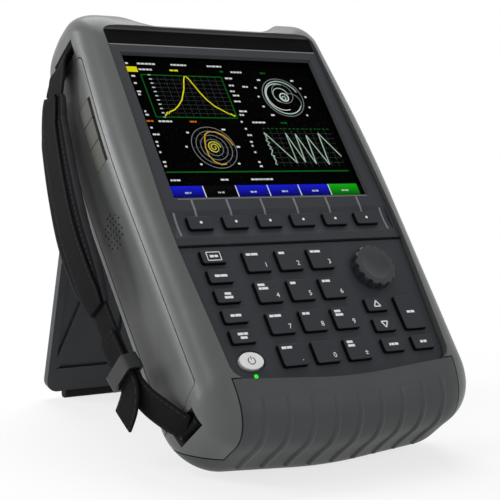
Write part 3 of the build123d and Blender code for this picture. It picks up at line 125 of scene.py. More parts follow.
class Finish:
    """A material, or the world's light, under construction."""

    def __init__(self, name, blocks=bpy.data.materials, end="ShaderNodeOutputMaterial"):
        self.block = blocks.new(name)
        self.block.use_nodes = True
        self.nodes = self.block.node_tree.nodes
        self.links = self.block.node_tree.links
        self.nodes.clear()
        self.end = self.nodes.new(end)

    def node(self, kind, settings=None, inputs=None, output=0):
        made = self.nodes.new(kind)
        for name, value in (settings or {}).items():
            setattr(made, name, value)
        for name, value in (inputs or {}).items():
            if isinstance(value, Value):
                self.links.new(value.output, made.inputs[name])
            else:
                made.inputs[name].default_value = value
        return Value(self, made.outputs[output])

    def axes(self, coordinates):
        """The three numbers of a kind of texture coordinate."""
        vector = self.node("ShaderNodeTexCoord", output=coordinates)
        return [self.node("ShaderNodeSeparateXYZ", inputs={0: vector}, output=axis) for axis in range(3)]

    def noise(self, size, detail=2.0):
        """Noise between 0 and 1 with features of about this many millimetres."""
        place = self.node("ShaderNodeTexCoord", output="Object")
        inputs = {"Vector": place, "Scale": 1 / (size * MM), "Detail": detail}
        return self.node("ShaderNodeTexNoise", inputs=inputs)

    def mix(self, share, first, second):
        return self.node("ShaderNodeMix", {"data_type": "RGBA"}, {0: share, 6: first, 7: second}, output=2)

    def clouds(self, dark, light, detail=4.0):
        """Two close tones in soft clouds."""
        return self.mix(self.noise(CLOUD_SIZE, detail), paint(*dark), paint(*light))

    def along(self, vector, direction):
        """How far a vector reaches along a direction."""
        settings = {"operation": "DOT_PRODUCT"}
        return self.node("ShaderNodeVectorMath", settings, {0: vector, 1: direction}, "Value")

    def bump(self, height, depth):
        """Normal of a relief whose full height is this many millimetres."""
        return self.node("ShaderNodeBump", inputs={"Distance": depth * MM, "Height": height})

    def close(self, shader):
        self.links.new(shader.output, self.end.inputs["Surface"])
        return self.block

    def skin(self, inputs):
        return self.close(self.node("ShaderNodeBsdfPrincipled", inputs=inputs))


def paint(red, green, blue):
    """Linear colour of an sRGB tone."""
    levels = [((level / 255 + 0.055) / 1.055) ** 2.4 for level in (red, green, blue)]
    return (*levels, 1.0)


CLOUD_SIZE = 26.0
SMEAR_DETAIL = 3.0
ROUGHNESS_SPREAD = 0.16
KEY_TOP_TURN = 0.6
CASE_TONES = ((80, 82, 81), (90, 92, 91))
PANEL_TONES = ((46, 48, 52), (53, 55, 59))
UNLIT_TONE = (4, 4, 5)
DOT_SIZE = 0.5
DIM_SHARE = 0.8
TRACK_PATCH = 9.0
TRACK_COVER = 0.48
STRAP_HALF = 15.0
THREAD_SHARE = 0.6
LINT_SIZE = 6.0
WEAVE_DEPTH = 0.12
CHANNEL_SHARE = 0.66
WEB_STITCH_SHARE = 0.84
STITCH_SHARE = 0.025
STITCH_PITCH = 3.6
STITCH_FROM = -0.4
STITCH_TONE = (54, 55, 58)


def uneven(roughness, grain):
    """Roughness that follows a grain."""
    return roughness + (grain - 0.5) * ROUGHNESS_SPREAD


def moulded(name, dark, light, roughness, grain, depth, specular=0.5):
    """Moulded plastic or rubber: two close tones in soft clouds under a fine eroded grain."""
    finish = Finish(name)
    pits = finish.noise(grain)
    return finish.skin({
        "Base Color": finish.clouds(dark, light),
        "Roughness": uneven(roughness, pits),
        "Specular IOR Level": specular,
        "Normal": finish.bump(pits, depth),
    })


def key_rubber(top_dark, top_light, painted_side_shade):
    """Keypad rubber: a finer charcoal top, with the sides painted near black as shade."""
    finish = Finish("key rubber with painted side shade")
    pits = finish.noise(0.4)
    facing = finish.node("ShaderNodeNewGeometry", output="Normal")
    # Painted shade: faces turned away from the face's front take the near-black side tone
    top = finish.along(facing, OUT) > KEY_TOP_TURN
    return finish.skin({
        "Base Color": finish.mix(top, paint(*painted_side_shade), finish.clouds(top_dark, top_light)),
        "Roughness": uneven(0.55, pits),
        "Specular IOR Level": 0.12,
        "Normal": finish.bump(pits, 0.02),
    })


def rimmed_bezel(rim_y):
    """Charcoal bezel whose rim above the strip has the case's grey."""
    finish = Finish("bezel charcoal")
    pits = finish.noise(0.35)
    place = finish.node("ShaderNodeTexCoord", output="Object")
    rim = finish.along(place, UP) > UP.dot(FACE @ Vector((0, rim_y, 0)))
    return finish.skin({
        "Base Color": finish.mix(rim, finish.clouds(*PANEL_TONES), finish.clouds(*CASE_TONES)),
        "Roughness": uneven(0.5, pits),
        "Specular IOR Level": 0.14,
        "Normal": finish.bump(pits, 0.03),
    })


def plated(name, dark, light, roughness, streak):
    """Plated metal with faint blotches and fine marks."""
    finish = Finish(name)
    marks = finish.noise(streak, SMEAR_DETAIL)
    return finish.skin({
        "Base Color": finish.clouds(dark, light, SMEAR_DETAIL),
        "Metallic": 1.0,
        "Roughness": uneven(roughness, marks),
        "Normal": finish.bump(marks, 0.01),
    })


def ink(name, dark, light):
    """Printed ink with a slightly uneven cover, also used for the pale paint of painted highlights."""
    finish = Finish(name)
    cover = finish.noise(0.6)
    return finish.skin({
        "Base Color": finish.mix(cover, paint(*dark), paint(*light)),
        "Roughness": uneven(0.5, cover),
    })


def shining(finish, colour, strength=1.0):
    """Dark matt surface that shines with a colour."""
    return finish.skin({
        "Base Color": paint(*UNLIT_TONE),
        "Roughness": 0.6,
        "Specular IOR Level": 0.0,
        "Emission Color": colour,
        "Emission Strength": strength,
    })


def glow(name, tone, strength=1.0):
    """Lit dots of a display or lamp, a little uneven from dot to dot."""
    finish = Finish(name)
    dim = [level * DIM_SHARE for level in tone]
    return shining(finish, finish.mix(finish.noise(DOT_SIZE), paint(*dim), paint(*tone)), strength)


def shaded_label(name, top, foot):
    """Lit label that darkens towards its lower edge."""
    finish = Finish(name)
    height = finish.axes("UV")[1]
    return shining(finish, finish.mix(height, paint(*foot), paint(*top)))


def clear_window():
    """Thin clear plate with a faint grey cast."""
    finish = Finish("clear window")
    smears = finish.noise(CLOUD_SIZE, SMEAR_DETAIL)
    return finish.skin({
        "Base Color": paint(20, 22, 24),
        "Roughness": 0.12 + smears * 0.1,
        "Specular IOR Level": 0.0,
        "Alpha": 0.03 + smears * 0.02,
    })


def track_lines(axis, pitch, edge):
    """Parallel lines across an axis."""
    return abs((axis * (math.tau / (pitch * MM))).sine()) > edge


def circuit_board():
    """Green board with finer lines of copper under its lacquer."""
    finish = Finish("board lacquer")
    x, _, z = finish.axes("Object")
    lines = track_lines(x, 2.4, 0.85)
    crossing = track_lines(z, 3.1, 0.88)
    tracks = lines.maths("MAXIMUM", lines, crossing) * (finish.noise(TRACK_PATCH) > TRACK_COVER)
    return finish.skin({
        "Base Color": finish.mix(tracks, paint(22, 66, 44), paint(46, 104, 66)),
        "Roughness": 0.35,
        "Normal": finish.bump(tracks, 0.03),
    })


def woven(name, dark, light, thread, stitch_shares=()):
    """Woven tape or cloth on a map of length and share across, with rows of stitches where given."""
    finish = Finish(name)
    length, share, _ = finish.axes("UV")
    warp = (length * (math.pi / thread)).sine()
    weft = (share * (STRAP_HALF * math.pi / thread)).sine()
    over = (warp * weft) > 0.0
    threads = over * abs(warp) + (1 - over) * abs(weft)
    shade = threads * THREAD_SHARE + finish.noise(LINT_SIZE) * (1 - THREAD_SHARE)
    colour = finish.mix(shade, paint(*dark), paint(*light))
    relief = threads
    for place in stitch_shares:
        row = abs(abs(share) - place) < STITCH_SHARE
        stitch = row * ((length * (math.tau / STITCH_PITCH)).sine() > STITCH_FROM)
        colour = finish.mix(stitch, colour, paint(*STITCH_TONE))
        relief = relief + stitch
    return finish.skin({
        "Base Color": colour,
        "Roughness": uneven(0.78, threads),
        "Specular IOR Level": 0.06,
        "Normal": finish.bump(relief, WEAVE_DEPTH),
    })


case_grey = moulded("case grey", *CASE_TONES, 0.34, 0.45, 0.03, 0.35)
flap_grey = moulded("flap rubber", (80, 80, 76), (92, 92, 87), 0.5, 0.4, 0.03, 0.25)
bumper_grey = moulded("bumper rubber", (60, 62, 63), (70, 72, 73), 0.46, 0.5, 0.04, 0.25)
panel_dark = moulded("panel charcoal", *PANEL_TONES, 0.5, 0.35, 0.03, 0.14)
bezel_dark = rimmed_bezel(RIM_Y)
# The last tone is the painted shade on the keys' sides
key_dark = key_rubber((44, 46, 50), (52, 54, 58), (9, 9, 10))
knob_dark = moulded("knob rubber", (40, 42, 46), (50, 52, 56), 0.4, 0.4, 0.02, 0.25)
strip_black = moulded("strip black", (6, 6, 7), (9, 9, 10), 0.5, 0.5, 0.004, 0.02)
button_white = moulded("button white", (228, 229, 228), (240, 241, 240), 0.35, 0.5, 0.006)
stand_dark = moulded("stand plastic", (42, 46, 50), (52, 56, 60), 0.38, 0.5, 0.03, 0.3)
foot_rubber = moulded("foot rubber", (12, 12, 13), (20, 20, 22), 0.7, 0.6, 0.05, 0.15)
keeper_grey = moulded("keeper plastic", (24, 25, 27), (36, 37, 39), 0.34, 0.4, 0.01, 0.3)
mat_grey = moulded("mat rubber", (60, 62, 64), (72, 74, 76), 0.7, 0.6, 0.03)
part_black = moulded("part plastic", (18, 18, 20), (28, 28, 30), 0.45, 0.5, 0.02)
screen_black = moulded("display black", (2, 2, 2), (4, 4, 4), 0.6, 0.4, 0.002, 0.0)
port_metal = plated("port nickel", (168, 166, 160), (196, 194, 188), 0.26, 0.3)
shield_metal = plated("shield tinplate", (150, 152, 154), (180, 182, 184), 0.38, 0.8)
pin_steel = plated("pin steel", (120, 121, 124), (150, 151, 154), 0.3, 0.4)
board_green = circuit_board()
window_clear = clear_window()
lamp_green = glow("lamp green", (40, 240, 40), 1.4)
legend_white = ink("legend white", (226, 228, 230), (244, 246, 248))
# Pale grey of the painted highlight lines under the strip and the display
painted_highlight_grey = ink("painted highlight grey", (112, 114, 116), (132, 134, 136))
symbol_grey = ink("symbol grey", (60, 62, 64), (82, 84, 86))
# Pale grey of the softkey ticks, and painted highlight on the trough-end ridges
tick_and_highlight_grey = moulded("tick and highlight grey", (104, 106, 110), (126, 128, 132), 0.4, 0.4, 0.01)
glow_white = glow("display white", (232, 236, 236))
glow_grey = glow("display grey", (128, 132, 134))
glow_dim = glow("display dim", (66, 70, 70))
glow_green = glow("display green", (16, 104, 26))
glow_pale = glow("display pale green", (190, 220, 196))
glow_yellow = glow("display yellow", (240, 232, 20))
glow_amber = glow("display amber", (222, 170, 24))
glow_orange = glow("display orange", (220, 110, 10))
label_blue = shaded_label("label blue", (24, 30, 205), (3, 3, 66))
label_green = shaded_label("label green", (20, 170, 20), (4, 80, 6))
label_black = shaded_label("label black", (8, 8, 10), (1, 1, 2))
pad_cloth = woven("strap cloth", (6, 6, 7), (20, 20, 22), 0.5, (CHANNEL_SHARE,))
binding_cloth = woven("binding tape", (26, 26, 28), (56, 56, 60), 0.4)
web_cloth = woven("strap webbing", (8, 8, 9), (26, 26, 28), 0.8, (WEB_STITCH_SHARE,))


def dress(material, *nodes):
    """Gives carried-over nodes their material."""
    for node in nodes:
        slots = frame["nodes"][node].data.materials
        slots.clear()
        slots.append(material)


dress(case_grey, "front_shell", "rear_shell", "battery_door")
dress(flap_grey, "side_flap_1", "side_flap_2", "side_flap_3")
dress(bumper_grey, "bottom_bumper")
dress(bezel_dark, "display_bezel")
dress(panel_dark, "keypad_panel")
dress(key_dark, *SOFTKEYS, *FUNCTION_KEYS, *NUMBER_PAD_KEYS, *SIDE_KEYS)
dress(knob_dark, "tuning_knob")
dress(strip_black, "name_strip")
dress(window_clear, "display_window")
dress(screen_black, "lcd_module")
dress(lamp_green, "status_led")
dress(button_white, "power_button")
dress(mat_grey, "keypad_mat")
dress(board_green, "keypad_board", "main_board")
dress(part_black, "encoder", "battery_pack", "side_jacks", "speaker")
dress(shield_metal, "rf_module")
dress(port_metal, "rf_ports", "aux_connectors")
dress(pin_steel, "stand_pin", "case_screws")
dress(stand_dark, "stand")
dress(foot_rubber, "stand_foot")
dress(keeper_grey, "strap_keeper")


# Pieces
def add(name, mesh, body):
    """Puts a mesh in the scene on a body."""
    piece = bpy.data.objects.new(name, mesh)
    bpy.context.scene.collection.objects.link(piece)
    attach(piece, body)
    return piece


def close_form(name, form, material):
    """Makes a piece of the case from a closed form in the face's frame."""
    bmesh.ops.recalc_face_normals(form, faces=form.faces)
    mesh = bpy.data.meshes.new(name)
    form.to_mesh(mesh)
    form.free()
    mesh.materials.append(material)
    mesh.transform(FACE)
    return add(name, mesh, "case")


def face_spots(node):
    """A node's points in the face's frame."""
    back = FACE.inverted()
    return [back @ vertex.co for vertex in frame["nodes"][node].data.vertices]


def box_of(spots):
    """Lowest and highest corner of points."""
    return [Vector(map(choose, zip(*spots))) for choose in (min, max)]


def face_box(node):
    """Lowest and highest corner of a node in the face's frame."""
    return box_of(face_spots(node))


def face_middle(node):
    low, high = face_box(node)
    return (low + high) / 2


def top_box(node):
    """Lowest and highest corner of a key's top face."""
    spots = face_spots(node)
    top = max(spot.z for spot in spots)
    return box_of([spot for spot in spots if top - spot.z < KEY_TOP_BAND])


class Print:
    """Flat marks on a plane of the face, collected into one thin mesh."""

    CAP_SHARE = 0.72

    def __init__(self):
        self.form = bmesh.new()
        self.map = self.form.loops.layers.uv.new("label map")
        self.inks = []

    def ink(self, material):
        if material not in self.inks:
            self.inks.append(material)
        return self.inks.index(material)

    def area(self, points, material):
        face = self.form.faces.new([self.form.verts.new((*point, 0.0)) for point in points])
        face.material_index = self.ink(material)
        return face

    def bar(self, x, y, width, height, material):
        """Rectangle about its middle."""
        corners = ((0, 0), (1, 0), (1, 1), (0, 1))
        points = [(x + (right - 0.5) * width, y + (high - 0.5) * height) for right, high in corners]
        for loop, corner in zip(self.area(points, material).loops, corners):
            loop[self.map].uv = corner

    def line(self, points, width, material, closed=False):
        """Ribbon along points."""
        spots = [Vector(point) for point in points]
        count = len(spots)
        edges = []
        for index, spot in enumerate(spots):
            ahead = spots[(index + 1) % count] if closed else spots[min(index + 1, count - 1)]
            behind = spots[index - 1] if closed else spots[max(index - 1, 0)]
            run = (ahead - behind).normalized()
            side = Vector((-run.y, run.x)) * (width / 2)
            edges.append([self.form.verts.new((*(spot + side * sign), 0.0)) for sign in (-1, 1)])
        following = [*edges[1:], edges[0]] if closed else edges[1:]
        for start, end in zip(edges, following):
            face = self.form.faces.new((start[0], end[0], end[1], start[1]))
            face.material_index = self.ink(material)

    def strokes(self, points, width, material):
        """Straight strokes from point to point."""
        for start, end in zip(points, points[1:]):
            self.line((start, end), width, material)

    def arc(self, x, y, radius, width, material, start=0.0, end=360.0, steps=44):
        closed = end - start >= 360
        count = steps if closed else steps + 1
        angles = [math.radians(start + (end - start) * index / steps) for index in range(count)]
        points = [(x + radius * math.cos(angle), y + radius * math.sin(angle)) for angle in angles]
        self.line(points, width, material, closed)

    def words(self, x, y, widths, height, material, gap=0.5):
        """Row of blocks that starts at x, like words too small to read."""
        for width in widths:
            self.bar(x + width / 2, y, width, height, material)
            x += width + gap

    def middle_words(self, x, y, widths, height, material, gap=0.5):
        run = sum(widths) + gap * (len(widths) - 1)
        self.words(x - run / 2, y, widths, height, material, gap)

    def numeral(self, x, y, height, text, material):
        letters = bpy.data.curves.new("numeral", "FONT")
        letters.body = text
        letters.size = height / self.CAP_SHARE
        letters.align_x = "CENTER"
        letters.align_y = "CENTER"
        holder = bpy.data.objects.new("numeral", letters)
        mesh = bpy.data.meshes.new_from_object(holder)
        mesh.transform(Matrix.Translation((x, y, 0)))
        first = len(self.form.faces)
        self.form.from_mesh(mesh)
        self.form.faces.ensure_lookup_table()
        for face in self.form.faces[first:]:
            face.material_index = self.ink(material)
        bpy.data.objects.remove(holder)
        bpy.data.curves.remove(letters)
        bpy.data.meshes.remove(mesh)

    def make(self, name, body, level, slot):
        mesh = bpy.data.meshes.new(name)
        self.form.to_mesh(mesh)
        self.form.free()
        for material in self.inks:
            mesh.materials.append(material)
        mesh.transform(FACE @ Matrix.Translation((0, 0, level)))
        piece = add(name, mesh, body)
        thicken = piece.modifiers.new("ink thickness", "SOLIDIFY")
        thicken.thickness = PRINT_THICKNESS * MM
        thicken.offset = 1.0
        return piece


# Display picture: four plots, their scales, a status row and the softkey labels. Places are shares of the
# display, widths and heights of marks are millimetres.
DOT_ROW = 1.15
TRACE = 0.75
FINE = 0.32
GRID_DASH = 0.8
DASH_SHARE = 0.55
LABEL_ROW = 8.2
LABEL_DOWN = 0.955
LABEL_GAP = 0.9
LABEL_RULE = 0.6
LABEL_WORD_DROP = 0.6


def screen_spot(across, down):
    """Point of the display from its shares across and down."""
    return ((across - 0.5) * SCREEN[0], (0.5 - down) * SCREEN[1])


def word_widths(count):
    """Widths of a few short words."""
    return [random.uniform(1.1, 2.6) for _ in range(count)]


def screen_words(picture, across, down, count, material=glow_white):
    picture.words(*screen_spot(across, down), word_widths(count), DOT_ROW, material)


def dashed(picture, start, end, dash, material, width=FINE):
    """Dashed straight line."""
    start = Vector(start)
    end = Vector(end)
    count = max(round((end - start).length / (2 * dash)), 1)
    for index in range(count):
        ends = [start.lerp(end, (index + part) / count) for part in (0, DASH_SHARE)]
        picture.line(ends, width, material)


def grid(picture, left, right, top, foot, columns, rows, material):
    """Dashed graticule inside a plot."""
    for index in range(1, columns):
        across = left + (right - left) * index / columns
        dashed(picture, screen_spot(across, top), screen_spot(across, foot), GRID_DASH, material)
    for index in range(1, rows):
        down = top + (foot - top) * index / rows
        dashed(picture, screen_spot(left, down), screen_spot(right, down), GRID_DASH, material)


def resonance_plot(picture):
    """Peak over a graticule in a green frame."""
    left, right, top, foot = 0.066, 0.487, 0.113, 0.425
    inner = 0.108
    edges = ((left, foot), (right, foot), (right, top), (left, top), (left, foot))
    picture.strokes([screen_spot(*corner) for corner in edges], 0.6, glow_green)
    grid(picture, inner, right, top, foot, 10, 10, glow_dim)
    for index in range(11):
        down = top + (foot - top) * index / 10
        picture.bar(*screen_spot(inner, down), 1.9, 0.7, glow_white)
    peak = ((0.145, 0.385), (0.173, 0.369), (0.202, 0.337), (0.229, 0.296), (0.261, 0.215), (0.279, 0.145),
            (0.288, 0.118), (0.297, 0.116), (0.306, 0.131), (0.32, 0.175), (0.339, 0.236), (0.36, 0.288),
            (0.39, 0.338), (0.425, 0.37), (0.45, 0.393))
    start = [(0.112 + 0.004 * step, 0.402 + random.uniform(-0.014, 0.012)) for step in range(8)]
    end = [(0.454 + 0.004 * step, 0.402 + random.uniform(-0.012, 0.016)) for step in range(8)]
    picture.line([screen_spot(*point) for point in (*start, *peak, *end)], TRACE, glow_yellow)
    picture.bar(*screen_spot(0.028, 0.074), 8.0, 3.9, glow_yellow)
    screen_words(picture, 0.066, 0.073, 4)
    screen_words(picture, 0.224, 0.073, 2, glow_yellow)
    for index, down in enumerate((0.12, 0.175, 0.22, 0.252, 0.297, 0.372, 0.4)):
        screen_words(picture, 0.506 + 0.006 * (index % 2), down, 2)
    for down in (0.125, 0.178, 0.24, 0.262, 0.385, 0.41):
        screen_words(picture, 0.016, down, 1)


def impedance_plot(picture):
    """Two rings round offset loops."""
    x, y = screen_spot(0.789, 0.258)
    picture.arc(x, y, 14.5, 0.55, glow_grey)
    picture.arc(x, y, 12.6, 0.7, glow_pale, 20, 330)
    picture.arc(x - 1.6, y + 0.4, 10.2, 0.6, glow_white, 70, 290)
    picture.arc(x + 0.6, y + 3.0, 7.4, 0.5, glow_grey)
    picture.arc(x - 1.0, y + 1.6, 5.6, 0.55, glow_pale, 10, 250)
    picture.arc(x + 0.9, y + 0.2, 3.0, 0.8, glow_white)
    picture.arc(x + 0.4, y - 0.6, 1.4, 0.7, glow_pale)
    picture.arc(x + 6.0, y - 3.0, 6.2, 0.5, glow_grey, -60, 150)
    ring = ((0.69, 0.125), (0.655, 0.187), (0.652, 0.256), (0.657, 0.332), (0.689, 0.397), (0.88, 0.123),
            (0.912, 0.182), (0.92, 0.25), (0.918, 0.331), (0.885, 0.394))
    for across, down in ring:
        picture.middle_words(*screen_spot(across, down), word_widths(1), DOT_ROW, glow_white)
    screen_words(picture, 0.492, 0.069, 1, glow_green)
    screen_words(picture, 0.551, 0.07, 4)
    screen_words(picture, 0.714, 0.07, 2, glow_green)
    screen_words(picture, 0.584, 0.182, 2)


def polar_plot(picture):
    """Rings and spokes with a wandering loop over them."""
    x, y = screen_spot(0.303, 0.643)
    for index in range(5):
        picture.arc(x, y, 2.95 * (index + 1), 0.42, glow_grey)
    for index in range(6):
        angle = math.pi * index / 6
        reach = Vector((math.cos(angle), math.sin(angle))) * 14.6
        picture.line((Vector((x, y)) - reach, Vector((x, y)) + reach), 0.2, glow_dim)
    loop = ((0.406, 0.628), (0.397, 0.592), (0.374, 0.553), (0.34, 0.53), (0.305, 0.528), (0.279, 0.55),
            (0.267, 0.593), (0.258, 0.645), (0.259, 0.7), (0.277, 0.744), (0.306, 0.766), (0.335, 0.762))
    picture.line([screen_spot(*point) for point in loop], TRACE, glow_amber)
    spiral = []
    for step in range(40):
        angle = math.radians(20 * step)
        radius = 4.6 - 0.1 * step
        spiral.append((x + radius * math.cos(angle), y + radius * math.sin(angle)))
    picture.line(spiral, 0.55, glow_yellow)
    ring = ((0.194, 0.536), (0.162, 0.638), (0.203, 0.763), (0.387, 0.512), (0.43, 0.638), (0.4, 0.76))
    for across, down in ring:
        picture.middle_words(*screen_spot(across, down), word_widths(1), DOT_ROW, glow_white)
    screen_words(picture, 0.01, 0.455, 2, glow_orange)
    screen_words(picture, 0.069, 0.456, 4)
    screen_words(picture, 0.228, 0.456, 2, glow_orange)
    for down in (0.503, 0.551, 0.604, 0.632, 0.677, 0.746, 0.775):
        screen_words(picture, 0.016, down, 1 + (down == 0.551))


def phase_plot(picture):
    """Saw of falling strokes under a green dashed line."""
    left, right, top, foot = 0.6, 0.984, 0.5, 0.79
    grid(picture, left, right, top, foot, 10, 8, glow_dim)
    dashed(picture, screen_spot(left, top), screen_spot(right, top), 1.6, glow_green, 0.5)
    saw = ((0.6, 0.53), (0.716, 0.757), (0.717, 0.533), (0.763, 0.751), (0.77, 0.539), (0.82, 0.764),
           (0.828, 0.548), (0.893, 0.77), (0.902, 0.531), (0.981, 0.708))
    picture.strokes([screen_spot(*point) for point in saw], 0.6, glow_pale)
    ragged = [(0.6 + random.uniform(-0.008, 0.008), 0.53 + 0.008 * step) for step in range(31)]
    picture.strokes([screen_spot(*point) for point in ragged], 0.5, glow_pale)
    screen_words(picture, 0.497, 0.452, 1)
    screen_words(picture, 0.559, 0.455, 4)
    screen_words(picture, 0.716, 0.456, 2, glow_green)
    for down in (0.504, 0.551, 0.601, 0.63, 0.677, 0.749, 0.779):
        screen_words(picture, 0.504, down, 1 + (down == 0.551))


def softkey_labels(picture):
    """Row of shaded boxes over the softkeys, with pale lines between them."""
    finishes = (label_blue, label_black, label_blue, label_blue, label_blue, label_green)
    width = SCREEN[0] / len(finishes)
    for index, finish in enumerate(finishes):
        x, y = screen_spot((index + 0.5) / len(finishes), LABEL_DOWN)
        picture.bar(x, y, width - LABEL_GAP, LABEL_ROW, finish)
        picture.middle_words(x, y - LABEL_WORD_DROP, word_widths(2), DOT_ROW, glow_white)
        if index:
            picture.bar(x - width / 2, y, LABEL_RULE, LABEL_ROW, glow_white)


def display_picture():
    picture = Print()
    for across, count in ((0.008, 1), (0.068, 5), (0.24, 5), (0.432, 5)):
        screen_words(picture, across, 0.03, count)
    resonance_plot(picture)
    impedance_plot(picture)
    polar_plot(picture)
    phase_plot(picture)
    picture.line((screen_spot(0.012, 0.817), screen_spot(0.986, 0.817)), 0.8, glow_green)
    for across, count in ((0.02, 3), (0.272, 2), (0.43, 7)):
        screen_words(picture, across, 0.873, count)
    softkey_labels(picture)
    picture.make("display_picture", "case", SCREEN_Z, "screen_black")


display_picture()

# Painted highlights: pale lines under the strip and under the display, where the shell's edge and the
# window's lower bevel catch the light
STRIP_HIGHLIGHT = 0.7
STRIP_HIGHLIGHT_GAP = 0.7
LIP_HIGHLIGHT = 0.4
LIP_HIGHLIGHT_DROP = 2.9


def face_lines():
    low, high = face_box("name_strip")
    mark = Print()
    mark.bar((low.x + high.x) / 2, low.y - STRIP_HIGHLIGHT_GAP, high.x - low.x, STRIP_HIGHLIGHT, painted_highlight_grey)
    mark.bar(0, -SCREEN[1] / 2 - LIP_HIGHLIGHT_DROP, SCREEN[0], LIP_HIGHLIGHT, painted_highlight_grey)
    mark.make("face_lines", "case", 0.0, "panel_dark")


face_lines()

# Legends on the keys
LABEL_HEIGHT = 1.5
NUMERAL_HEIGHT = 3.1
NUMERAL_FROM_EDGE = (3.0, 3.6)
LABEL_FROM_EDGE = (1.5, 2.1)
LABEL_LINE = 2.3
NUMBER_LABELS = {
    "key_1": ((3.0, 4.4),), "key_2": ((3.9,),), "key_3": ((2.4, 4.2),),
    "key_4": ((4.6,), (1.8, 4.0)), "key_5": ((3.6,),), "key_6": ((2.0, 3.2),),
    "key_7": ((2.8, 4.4),), "key_8": ((2.2, 2.2),), "key_9": ((4.2,), (5.2,)),
    "key_point": ((3.0, 3.4),), "key_0": (), "key_sign": ((4.0,), (4.6,)),
}
WORD_GAP = 0.35
FUNCTION_FRAME = (8.6, 5.2)
FRAME_LINE = 0.5
DOT_RADIUS = 0.85
DOT_ANGLES = [math.tau * step / 20 for step in range(20)]
NUMERALS = {**{f"key_{digit}": str(digit) for digit in range(10)}, "key_point": ".", "key_sign": "±"}
FUNCTION_LABELS = (
    ((2.6, 2.2),), ((3.2, 4.4),), ((4.0,), (5.4,)), ((2.6, 3.8),), ((3.4, 2.6), (4.2,)),
)
SIDE_LABELS = {"enter_key": (2.4, 2.6), "back_key": (1.2, 2.2, 2.4), "escape_key": (2.0, 2.2)}
ARROW = ((-2.3, -1.6), (2.3, -1.6), (0.0, 2.2))
ARROW_LINE = 0.75
POWER_RADIUS = 2.1
POWER_LINE = 0.55
POWER_ARC = (120, 420)
POWER_STEM = 2.2
POWER_STEM_RISE = 1.7


def finish_legend(mark, node):
    """Lays a legend on its key's top, on the key's own body."""
    mark.make(f"{node}_legend", node, face_box(node)[1].z, "button_white")


def number_legends():
    for node, numeral in NUMERALS.items():
        low, high = top_box(node)
        mark = Print()
        for row, widths in enumerate(NUMBER_LABELS[node]):
            y = high.y - LABEL_FROM_EDGE[1] - row * LABEL_LINE
            mark.words(low.x + LABEL_FROM_EDGE[0], y, widths, LABEL_HEIGHT, legend_white, WORD_GAP)
        spot = (high.x - NUMERAL_FROM_EDGE[0], low.y + NUMERAL_FROM_EDGE[1])
        mark.numeral(*spot, NUMERAL_HEIGHT, numeral, legend_white)
        finish_legend(mark, node)


def function_legends():
    for node, rows in zip(FUNCTION_KEYS, FUNCTION_LABELS):
        middle = face_middle(node)
        mark = Print()
        for index, widths in enumerate(rows):
            y = middle.y + LABEL_LINE * ((len(rows) - 1) / 2 - index)
            mark.middle_words(middle.x, y, widths, LABEL_HEIGHT, legend_white, WORD_GAP)
        if node == FUNCTION_KEYS[0]:
            half = Vector(FUNCTION_FRAME) / 2
            signs = ((-1, -1), (1, -1), (1, 1), (-1, 1), (-1, -1))
            corners = [(middle.x + half.x * x, middle.y + half.y * y) for x, y in signs]
            mark.strokes(corners, FRAME_LINE, legend_white)
        finish_legend(mark, node)


def side_legends():
    for node, sign in (("arrow_up_key", 1), ("arrow_down_key", -1)):
        middle = face_middle(node)
        mark = Print()
        points = [(middle.x + x, middle.y + y * sign) for x, y in ARROW]
        mark.strokes([*points, points[0]], ARROW_LINE, legend_white)
        finish_legend(mark, node)
    for node, widths in SIDE_LABELS.items():
        middle = face_middle(node)
        mark = Print()
        mark.middle_words(middle.x, middle.y, widths, LABEL_HEIGHT, legend_white, WORD_GAP)
        finish_legend(mark, node)
    for node in SOFTKEYS:
        middle = face_middle(node)
        mark = Print()
        turns = [Vector((math.cos(angle), math.sin(angle))) for angle in DOT_ANGLES]
        mark.area([middle.xy + turn * DOT_RADIUS for turn in turns], legend_white)
        finish_legend(mark, node)


def power_symbol():
    middle = face_middle("power_button")
    mark = Print()
    mark.arc(middle.x, middle.y, POWER_RADIUS, POWER_LINE, symbol_grey, *POWER_ARC)
    mark.bar(middle.x, middle.y + POWER_STEM_RISE, POWER_LINE, POWER_STEM, symbol_grey)
    finish_legend(mark, "power_button")


number_legends()
function_legends()
side_legends()
power_symbol()


# Ridges that lead from the display to the softkeys, and pale ridges at the trough's ends as painted
# highlights of its end walls
def trough_level(y, middle):
    """Depth of the softkey trough at a height on the face."""
    reach = y - middle
    return min(0.0, TROUGH_RADIUS - TROUGH_DEPTH - math.sqrt(TROUGH_RADIUS ** 2 - reach ** 2))


def ridge(form, x, top, foot, middle):
    """Adds a three-sided ridge down the face, along the trough's floor."""
    rings = []
    for step in range(TICK_STEPS + 1):
        y = top + (foot - top) * step / TICK_STEPS
        level = trough_level(y, middle)
        low = level - TICK_SINK
        spots = ((x - TICK_WIDTH / 2, low), (x, level + TICK_HEIGHT), (x + TICK_WIDTH / 2, low))
        rings.append([form.verts.new((across, y, height)) for across, height in spots])
    for start, after in zip(rings, rings[1:]):
        for side in range(3):
            form.faces.new((start[side], start[(side + 1) % 3], after[(side + 1) % 3], after[side]))
    form.faces.new(rings[0])
    form.faces.new(reversed(rings[-1]))


def softkey_ticks():
    form = bmesh.new()
    for node in SOFTKEYS:
        low, high = top_box(node)
        ridge(form, (low.x + high.x) / 2, TICK_TOP_Y, high.y + TICK_GAP, (low.y + high.y) / 2)
    middle = face_middle(SOFTKEYS[0]).y
    # Painted highlight: pale ridges near both ends of the trough stand for the light on its end walls
    edge = TROUGH_HALF - TROUGH_EDGE_INSET
    for x in (-edge, edge):
        ridge(form, x, middle + TROUGH_EDGE_REACH, middle - TROUGH_EDGE_REACH, middle)
    close_form("softkey_ticks", form, tick_and_highlight_grey)


softkey_ticks()

